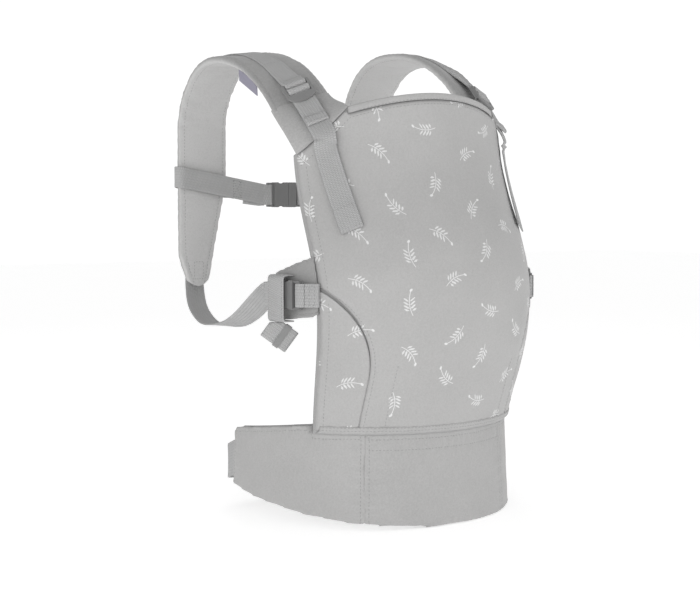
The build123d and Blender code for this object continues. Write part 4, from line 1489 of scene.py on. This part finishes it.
        def place(s: float, t: float) -> Spot:
            """A point of the yoke's skin."""
            u, face = outline[round(s * len(outline)) % len(outline)]
            start = end.point((u - 0.5) * -self.side * self.width * 0.985, 0) - end.onward * back
            last = self.corner(u, -0.0016)
            run = (last - start).length
            inward = (self.corner(u, 0) - self.corner(u, -0.01)).normalized()
            down = end.across.cross(inward) * self.side
            down = down if down.dot(end.onward) > 0 else -down
            h = (2 * t ** 3 - 3 * t * t + 1, t ** 3 - 2 * t * t + t, -2 * t ** 3 + 3 * t * t, t ** 3 - t * t)
            spot = start * h[0] + end.onward * run * 0.75 * h[1] + last * h[2] + down * run * 0.3 * h[3]
            normal = end.up.lerp(inward, t).normalized()
            rim = min(u, 1 - u)
            thick = 0.0038 * (1 - t) + 0.0016 * t
            thick *= min(1.0, 0.35 + 5 * rim) * min(1.0, 0.6 + 6 * (1 - t))
            folds = 0.0007 * math.sin(u * 23 + t * 4) * t * (1 - t) * 4 + 0.0006 * noise.noise(spot * 60)
            return spot + normal * (face * thick + folds), u * 0.068, t * run

        bm = grid(len(outline), count, place, closed=True)
        piece = make_piece(bm, f"{self.hand}_yoke_cloth", Finish.STRAP, [f"{self.hand}_strap_yoke"])
        # The yoke is painted darker, the same painted shade as the strap's outer face.
        shade = piece.data.attributes.new("face", "FLOAT", "POINT")
        shade.data.foreach_set("value", [-0.5] * len(piece.data.vertices))
        modifier(piece, "SUBSURF", levels=1, render_levels=1)

    def adjuster(self, sewing: Stitching) -> None:
        """The webbing from the ladder lock to its box stitch on the panel."""
        points, wides = [self.at(x, -self.inner) for x in (0.0052, 0.030)], [self.across] * 2
        corner = self.corner(self.lead_share, self.lead_lift)
        spots = [corner]
        for share in (0.1, 0.2, 0.35, 0.5, 0.65, 0.8, 1.0):
            x = self.side * (abs(corner.x) + (self.adjuster_x - abs(corner.x)) * share)
            z = corner.z + (self.adjuster_end - corner.z) * share
            spots.append(self.panel.point(x, z, 0.0028))
        for spot in spots:
            lean = spot.x / self.panel.radius(spot.z)
            wides.append(Vector((math.sqrt(1 - lean * lean), lean, 0)))
        stations = laid(flowing(points + spots, 6), flowing(wides, 6))
        loose = stations[7:]
        for station, centre in zip(loose, eased([station.centre for station in loose], 12, 2)):
            station.centre = centre
        self.lead = aligned(stations)
        piece = webbing(f"{self.hand}_adjuster_web", stations, self.size, f"{self.hand}_adjuster_webbing")
        tree = piece_tree(piece)
        foot = stations[-6]
        sewing.box(tree, foot.centre, foot.across * 0.0100, foot.onward * 0.0095)
        top = stations[-12]
        sewing.row(tree, [top.point(-0.0115, 0.001), top.point(0.0115, 0.001)])

    def tail(self) -> None:
        """The free end that comes back over the ladder lock, folded and sewn at its end."""
        r, lift = self.inner, self.web_thickness + 0.0003
        ring = ((0, -1), (-0.75, -0.75), (-1, 0), (-0.75, 0.75), (0, 1), (0.8, 0.72), (1.25, 0))
        spots = [(0.0040, -r)] + [(r * a, r * b) for a, b in ring] + [(r * 1.6, lift - r)]
        run = self.lead[3:self.tail_sections]
        points = flowing([self.at(*spot) for spot in spots] + [s.point(0, lift) for s in run], 5)
        last = run[-1]
        points += cornered([last.point(0, lift) + last.onward * a + last.up * b for a, b in
                            ((0.0005, 0), (0.0022, 0), (0.0022, 0.0017), (-0.0080, 0.0017))], 0.0008)
        body = f"{self.hand}_ladder_lock_body"
        piece = webbing(f"{self.hand}_adjuster_tail_web", laid(points, self.across, 0.0011), self.size,
                        f"{self.hand}_adjuster_tail", body)
        sewing = Stitching(f"{self.hand}_tail_stitches", body)
        tree = piece_tree(piece)
        for back in (0.0005, 0.0062):
            sewing.row(tree, [last.point(a * 0.011, 0.005) - last.onward * back for a in (-1, 0, 1)])
        sewing.done()


@dataclass
class ChestStrap:
    """The webbing sleeves round both shoulder straps, with the doubled ends in the buckle."""

    height: float = 0.355
    rise: float = 0.021
    level: float = 0.034
    y: float = 0.174563
    strap_x: float = 0.118
    strap_y: float = 0.182
    roll: float = 5.0
    size: tuple = (WEB_WIDTH, 0.0015)
    tail: float = 0.0640
    join: float = 0.0815
    box: float = 0.0745
    bars: tuple = (-0.0296, 0.0142)

    def z(self, x: float) -> float:
        """Height of the webbing's middle."""
        return self.height + self.rise * max(0.0, abs(x) - self.level) / self.strap_x

    def build(self) -> None:
        """Makes both halves."""
        sewing = Stitching("chest_stitches", "chest_strap", slot=Slot.WEBBING, pitch=0.0032, length=0.0024,
                           finish=Finish.SHADE_THREAD)
        for (side, hand), bar_x in zip(SIDES, self.bars):
            bar = Bar(Vector((bar_x, self.y, 0)), Vector((side, 0, 0)), Vector((0, 1, 0)))
            points = bar.loop(self.tail - abs(bar_x), self.join - abs(bar_x))
            turn = Matrix.Rotation(math.radians(-side * self.roll), 3, "Z")
            ring = [(side * 0.0353, -0.0093), (side * 0.0353, 0.0093), (-side * 0.0353, 0.0093),
                    (-side * 0.0353, -0.0070)]
            middle = Vector((side * self.strap_x, self.strap_y, 0))
            corners = [points[-1]] + [middle + turn @ Vector((a, b, 0)) for a, b in ring]
            corners.append(Vector((side * 0.0760, self.y + 0.0012, 0)))
            points = points[:-1] + cornered(corners, 0.0078)
            for i, point in enumerate(points):
                droop = max(0.0, 1 - i / 3) * 0.004
                points[i] = Vector((point.x, point.y, self.z(point.x) - droop))
            piece = webbing(f"{hand}_chest_web", laid(points, UP, 0.0016), self.size, f"{hand}_chest_webbing",
                            "chest_strap")
            centre = Vector((side * self.box, self.y - 0.003, self.z(self.box)))
            slope = Vector((side * 0.0052, 0, 0.0052 * self.rise / self.strap_x))
            sewing.box(piece_tree(piece), centre, slope, Vector((0, 0, 0.0098)))
        sewing.done()


@dataclass
class WaistStrap:
    """The wide webbing across the wearer's back, from one end of the belt to the other."""

    start: tuple = (0.1556, 0.0262, 0.062)
    bend: tuple = (0.1466, 0.078, 0.045)
    y: float = 0.078
    z: float = 0.045
    size: tuple = (0.038, 0.0018)
    bars: tuple = (-0.026, 0.0178)

    def build(self) -> None:
        """Makes both halves."""
        sewing = Stitching("waist_stitches", "carrier", slot=Slot.WEBBING, finish=Finish.SHADE_THREAD)
        for (side, hand), bar_x in zip(SIDES, self.bars):
            bar = Bar(Vector((bar_x, self.y, self.z)), Vector((side, 0, 0)), Vector((0, 1, 0)))
            spots = [Vector((side * x, y, z)) for x, y, z in (self.start, self.bend)]
            way = cornered(spots + [bar.at(0.030, bar.layer)], 0.045)
            stations = laid(way + bar.loop(0.025, 0.060), UP)
            piece = webbing(f"{hand}_waist_web", stations, self.size, f"{hand}_waist_webbing")
            centre = bar.at(0.046, 0.003)
            sewing.box(piece_tree(piece), centre, Vector((0.009, 0, 0)), Vector((0, 0, 0.015)))
        sewing.done()


@dataclass
class SideFastening:
    """The padded guard beside the panel, its buckle's webbing, the band over it and the folded tail."""

    side: int
    hand: str
    panel: Panel
    height: float = 0.25
    mouth_angle: float = 77.0
    web: float = WEB_WIDTH
    web_thickness: float = WEB_THICKNESS
    housing_bar: float = -0.026
    plug_bar: float = 0.0178
    band_angle: float = 77.3
    band_z: float = 0.246
    band_width: float = 0.024
    band_height: float = 0.0484
    band_lift: float = 0.0133
    tail_height: float = 0.208
    tail_facing: float = 33.0
    tail_turn: float = 36.0
    tail_cut: float = 0.2207
    way_back: tuple = ((0.166, -0.040, 0.238, 34), (0.161, -0.006, 0.223, 58), (0.154, 0.034, 0.211, 72),
                       (0.147, 0.080, 0.205, 84), (0.139, 0.127, 0.205, 90), (0.130, 0.171, 0.219, 90),
                       (0.124, 0.1916, 0.241, 90), (0.124, 0.1916, 0.266, 90))

    def spot(self, angle: float, z: float, lift: float) -> Vector:
        """A point at an angle round the panel's axis, from the front."""
        r, a = self.panel.radius(z) + lift, math.radians(angle)
        return Vector((self.side * r * math.sin(a), self.panel.axis_y(z) - r * math.cos(a), z))

    def build(self) -> None:
        """Makes the guard and everything on it."""
        a = math.radians(self.mouth_angle)
        self.seat = self.spot(self.mouth_angle, self.height, 0.00505)
        self.along = Vector((self.side * math.cos(a), math.sin(a), 0))
        self.out = Vector((self.side * math.sin(a), -math.cos(a), 0))
        sewing = Stitching(f"{self.hand}_side_stitches", "carrier")
        self.guard(sewing)
        self.webs(sewing)
        self.band(sewing)
        self.tail()
        sewing.done()

    def guard(self, sewing: Stitching) -> None:
        """The padded guard under the buckle."""
        node = f"{self.hand}_buckle_guard"
        # The guard takes the darker cloth: painted shade.
        pad = Pad(node, self.out, voxel=0.0028, shrink=0.0016, allow=0.0, fill=0.5,
                  finish=Finish.GUARD_PAINTED_SHADE).puffed()
        lines = []
        for lift in (0.0, -0.008):
            low = [self.spot(60 + k, 0.2325 - 0.0016 * k * 0.2, lift) for k in range(22)]
            high = [self.spot(60 + k, 0.2905 - 0.0009 * k, lift) for k in range(22)]
            back = [self.spot(81.8, 0.227 + 0.004 * k, lift) for k in range(11)]
            lines += [low, back, high]
        press(pad, lines, 0.0026, 0.0010, 0.00015)
        tree = piece_tree(pad)
        for line in lines[:3]:
            sewing.row(tree, line)

    def webs(self, sewing: Stitching) -> None:
        """The short webbing to the panel and the long one to the shoulder strap's tip."""
        bar = Bar(self.seat + self.along * self.housing_bar, -self.along, self.out)
        inner = bar.loop(0.006, 0.0075)
        start = [self.spot(60.8, self.height, 0.0022), self.spot(64, self.height, 0.0042)]
        finish = [self.spot(64, self.height, 0.0024), self.spot(60.8, self.height, 0.0004)]
        web = webbing(f"{self.hand}_anchor_web", laid(start + inner + finish, UP, 0.0014), (self.web, 0.0015),
                      f"{self.hand}_anchor_webbing")
        sewing.box(piece_tree(web), self.spot(63.0, self.height, 0.006), (start[0] - start[1]) * 0.28,
                   UP * 0.010, cross=False)
        bar = Bar(self.seat + self.along * self.plug_bar, self.along, self.out)
        loop = bar.loop(0.0055, 0.008)
        wides = [UP] * len(loop)
        spots = [Vector((self.side * x, y, z)) for x, y, z, _ in self.way_back]
        leans = [0.0] + [math.radians(row[3]) for row in self.way_back]
        route = flowing([loop[-1]] + spots, 8)[1:]
        lateral = Vector((self.side, 0, 0))
        for k in range(len(route)):
            at = (k + 1) / 8
            i = min(int(at), len(leans) - 2)
            lean = leans[i] + (leans[i + 1] - leans[i]) * (at - i)
            wides.append(UP * math.cos(lean) + lateral * math.sin(lean))
        webbing(f"{self.hand}_side_web", laid(loop + route, wides, 0.002), (self.web, self.web_thickness),
                f"{self.hand}_side_webbing")

    def band(self, sewing: Stitching) -> None:
        """The band that stands round the buckle's plug."""
        middle = self.spot(self.band_angle, self.band_z, 0.0004)
        outward = middle - Vector((0, self.panel.axis_y(self.band_z), self.band_z))
        outward.z = 0
        outward.normalize()
        h = self.band_height / 2
        spots = [(-0.002, -h), (self.band_lift, -h), (self.band_lift, h), (-0.002, h)]
        line = cornered([middle + outward * a + UP * b for a, b in spots], 0.0045)
        across = outward.cross(UP)
        piece = webbing(f"{self.hand}_guard_band_web", laid(line, across, 0.0016),
                        (self.band_width, self.web_thickness), f"{self.hand}_guard_band")
        tree = piece_tree(piece)
        for way in (1, -1):
            edge = [middle + outward * (self.band_lift + 0.002) + UP * b + across * way * 0.0098
                    for b in (-0.019, 0.0, 0.019)]
            sewing.row(tree, edge)

    def tail(self) -> None:
        """The webbing's free end, folded up and held by its elastic keeper."""
        facing, turn = math.radians(self.tail_facing), math.radians(self.tail_turn)
        level = Vector((-self.side * math.cos(facing), -math.sin(facing), 0))
        wide = level * math.sin(turn) + UP * math.cos(turn)
        long = level * math.cos(turn) - UP * math.sin(turn)
        thick = long.cross(wide)
        middle = self.spot(76, self.tail_height, 0.008)
        spots = [(-0.0158, -0.0017), (0.0156, -0.0017), (0.0156, 0.0), (-0.0150, 0.0), (-0.0150, 0.0017),
                 (0.0146, 0.0017)]
        line = cornered([middle + long * a + thick * b for a, b in spots], 0.0009)
        bm = strip(laid(line, wide, 0.0012), self.web, self.web_thickness)
        trimmed = bmesh.ops.bisect_plane(bm, geom=bm.verts[:] + bm.edges[:] + bm.faces[:],
                                         plane_co=(0, 0, self.tail_cut), plane_no=UP, clear_outer=True)
        rim = [part for part in trimmed["geom_cut"] if isinstance(part, bmesh.types.BMEdge)]
        bmesh.ops.holes_fill(bm, edges=rim)
        make_piece(bm, f"{self.hand}_folded_tail", Finish.WEBBING, [f"{self.hand}_webbing_tail"])
        w, h = 0.0133, 0.0033
        ring = [(0, -h), (w, -h), (w, h), (-w, h), (-w, -h), (0.001, -h)]
        line = cornered([middle + long * 0.0035 + wide * a + thick * b for a, b in ring], 0.002)
        webbing(f"{self.hand}_keeper_elastic", laid(line, long, 0.0012), (0.007, 0.001),
                f"{self.hand}_tail_keeper", f"{self.hand}_tail_keeper_body", Finish.ELASTIC)


class Carrier:
    """The whole carrier."""

    def build(self) -> None:
        """Builds each sub-assembly in order."""
        panel = Panel()
        panel.build()
        Belt().build()
        for (side, hand), height in zip(SIDES, (0.426, 0.435)):
            ShoulderStrap(side, hand, height, panel).build()
            SideFastening(side, hand, panel).build()
        ChestStrap().build()
        WaistStrap().build()
        self.dress_rest()

    def dress_rest(self) -> None:
        """Gives the CAD nodes that still show, the plastic pieces and the tab, their finish."""
        by_slot = {Slot.BUCKLE: Finish.BUCKLE, Slot.LOCK: Finish.LOCK, Slot.TAG: Finish.TAG}
        slots = {row["node"]: Slot(row["material_slot"]) for row in frame["record"]["subparts"]}
        for name, node in frame["nodes"].items():
            if node.hide_render:
                continue
            node.data.materials.clear()
            node.data.materials.append(by_slot[slots[name]].material())
            if slots[name] is not Slot.TAG:
                modifier(node, "WELD", merge_threshold=CAD_MERGE)
                modifier(node, "BEVEL", width=0.0005, segments=2, limit_method="ANGLE",
                         angle_limit=math.radians(40))


# --- studio -------------------------------------------------------------------------------------

@dataclass
class Studio:
    """Camera, lights and floor."""

    azimuth: float = -33.0
    elevation: float = 4.0
    distance: float = 1.7
    target: tuple = (-0.0156, 0.0101, 0.233)
    lens: float = 75.37
    surround: tuple = (1.14, 0.44)
    seen: float = 1.05
    aim: tuple = (0, 0, 0.25)

    def build(self) -> None:
        """Sets everything up."""
        bpy.context.scene.view_settings.view_transform = "Standard"
        self.camera()
        self.floor()
        self.lights()

    def camera(self) -> None:
        """Stands the camera at the chosen angle."""
        a, e = math.radians(self.azimuth), math.radians(self.elevation)
        back = Vector((math.sin(a) * math.cos(e), -math.cos(a) * math.cos(e), math.sin(e)))
        data = bpy.data.cameras.new("camera")
        data.lens, data.sensor_width = self.lens, 36.0
        camera = placed("camera", data)
        camera.location = Vector(self.target) + back * self.distance
        camera.rotation_euler = (-back).to_track_quat("-Z", "Y").to_euler()
        bpy.context.scene.camera = camera

    def floor(self) -> None:
        """Lays the pale floor just under the belt."""
        bm = bmesh.new()
        bmesh.ops.create_grid(bm, x_segments=1, y_segments=1, size=6.0)
        bmesh.ops.translate(bm, verts=bm.verts, vec=(0, 0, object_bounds()[0].z - 0.0005))
        mesh = bpy.data.meshes.new("studio_floor")
        bm.to_mesh(mesh)
        bm.free()
        mesh.materials.append(Backdrop().material())
        placed("studio_floor", mesh)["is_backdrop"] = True

    def lights(self) -> None:
        """Hangs the soft lights and sets the pale surround."""
        for name, place, size, power in (("key", (-1.35, -1.45, 0.45), 1.2, 8.0),
                                         ("rear", (0.35, 1.1, 1.5), 0.9, 2.4),
                                         ("fill", (0.6, -1.9, 0.35), 1.3, 3.4)):
            data = bpy.data.lights.new(name, "AREA")
            data.size, data.energy = size, power
            lamp = placed(name, data)
            lamp.location = Vector(place)
            lamp.rotation_euler = (Vector(self.aim) - lamp.location).to_track_quat("-Z", "Y").to_euler()
        world = bpy.data.worlds.new("surround")
        world.use_nodes = True
        tree = world.node_tree
        way, axes, sky, path, level = (tree.nodes.new(f"ShaderNode{kind}") for kind in (
            "TexCoord", "SeparateXYZ", "MapRange", "LightPath", "MapRange"))
        limits = {"From Min": -0.1, "From Max": 0.8, "To Min": self.surround[0], "To Max": self.surround[1]}
        for name, limit in limits.items():
            sky.inputs[name].default_value = limit
        level.inputs["To Max"].default_value = self.seen
        background = tree.nodes["Background"]
        background.inputs["Color"].default_value = grey(1.0)
        for start, output, end, socket in ((way, "Generated", axes, "Vector"), (axes, "Z", sky, "Value"),
                                           (sky, "Result", level, "To Min"),
                                           (path, "Is Camera Ray", level, "Value"),
                                           (level, "Result", background, "Strength")):
            tree.links.new(start.outputs[output], end.inputs[socket])
        bpy.context.scene.world = world


def main() -> None:
    """Builds the carrier and its studio."""
    logging.basicConfig(level=logging.INFO, format="%(relativeCreated)6d %(name)s %(message)s")
    Carrier().build()
    Studio().build()


if __name__ == "__main__":
    main()
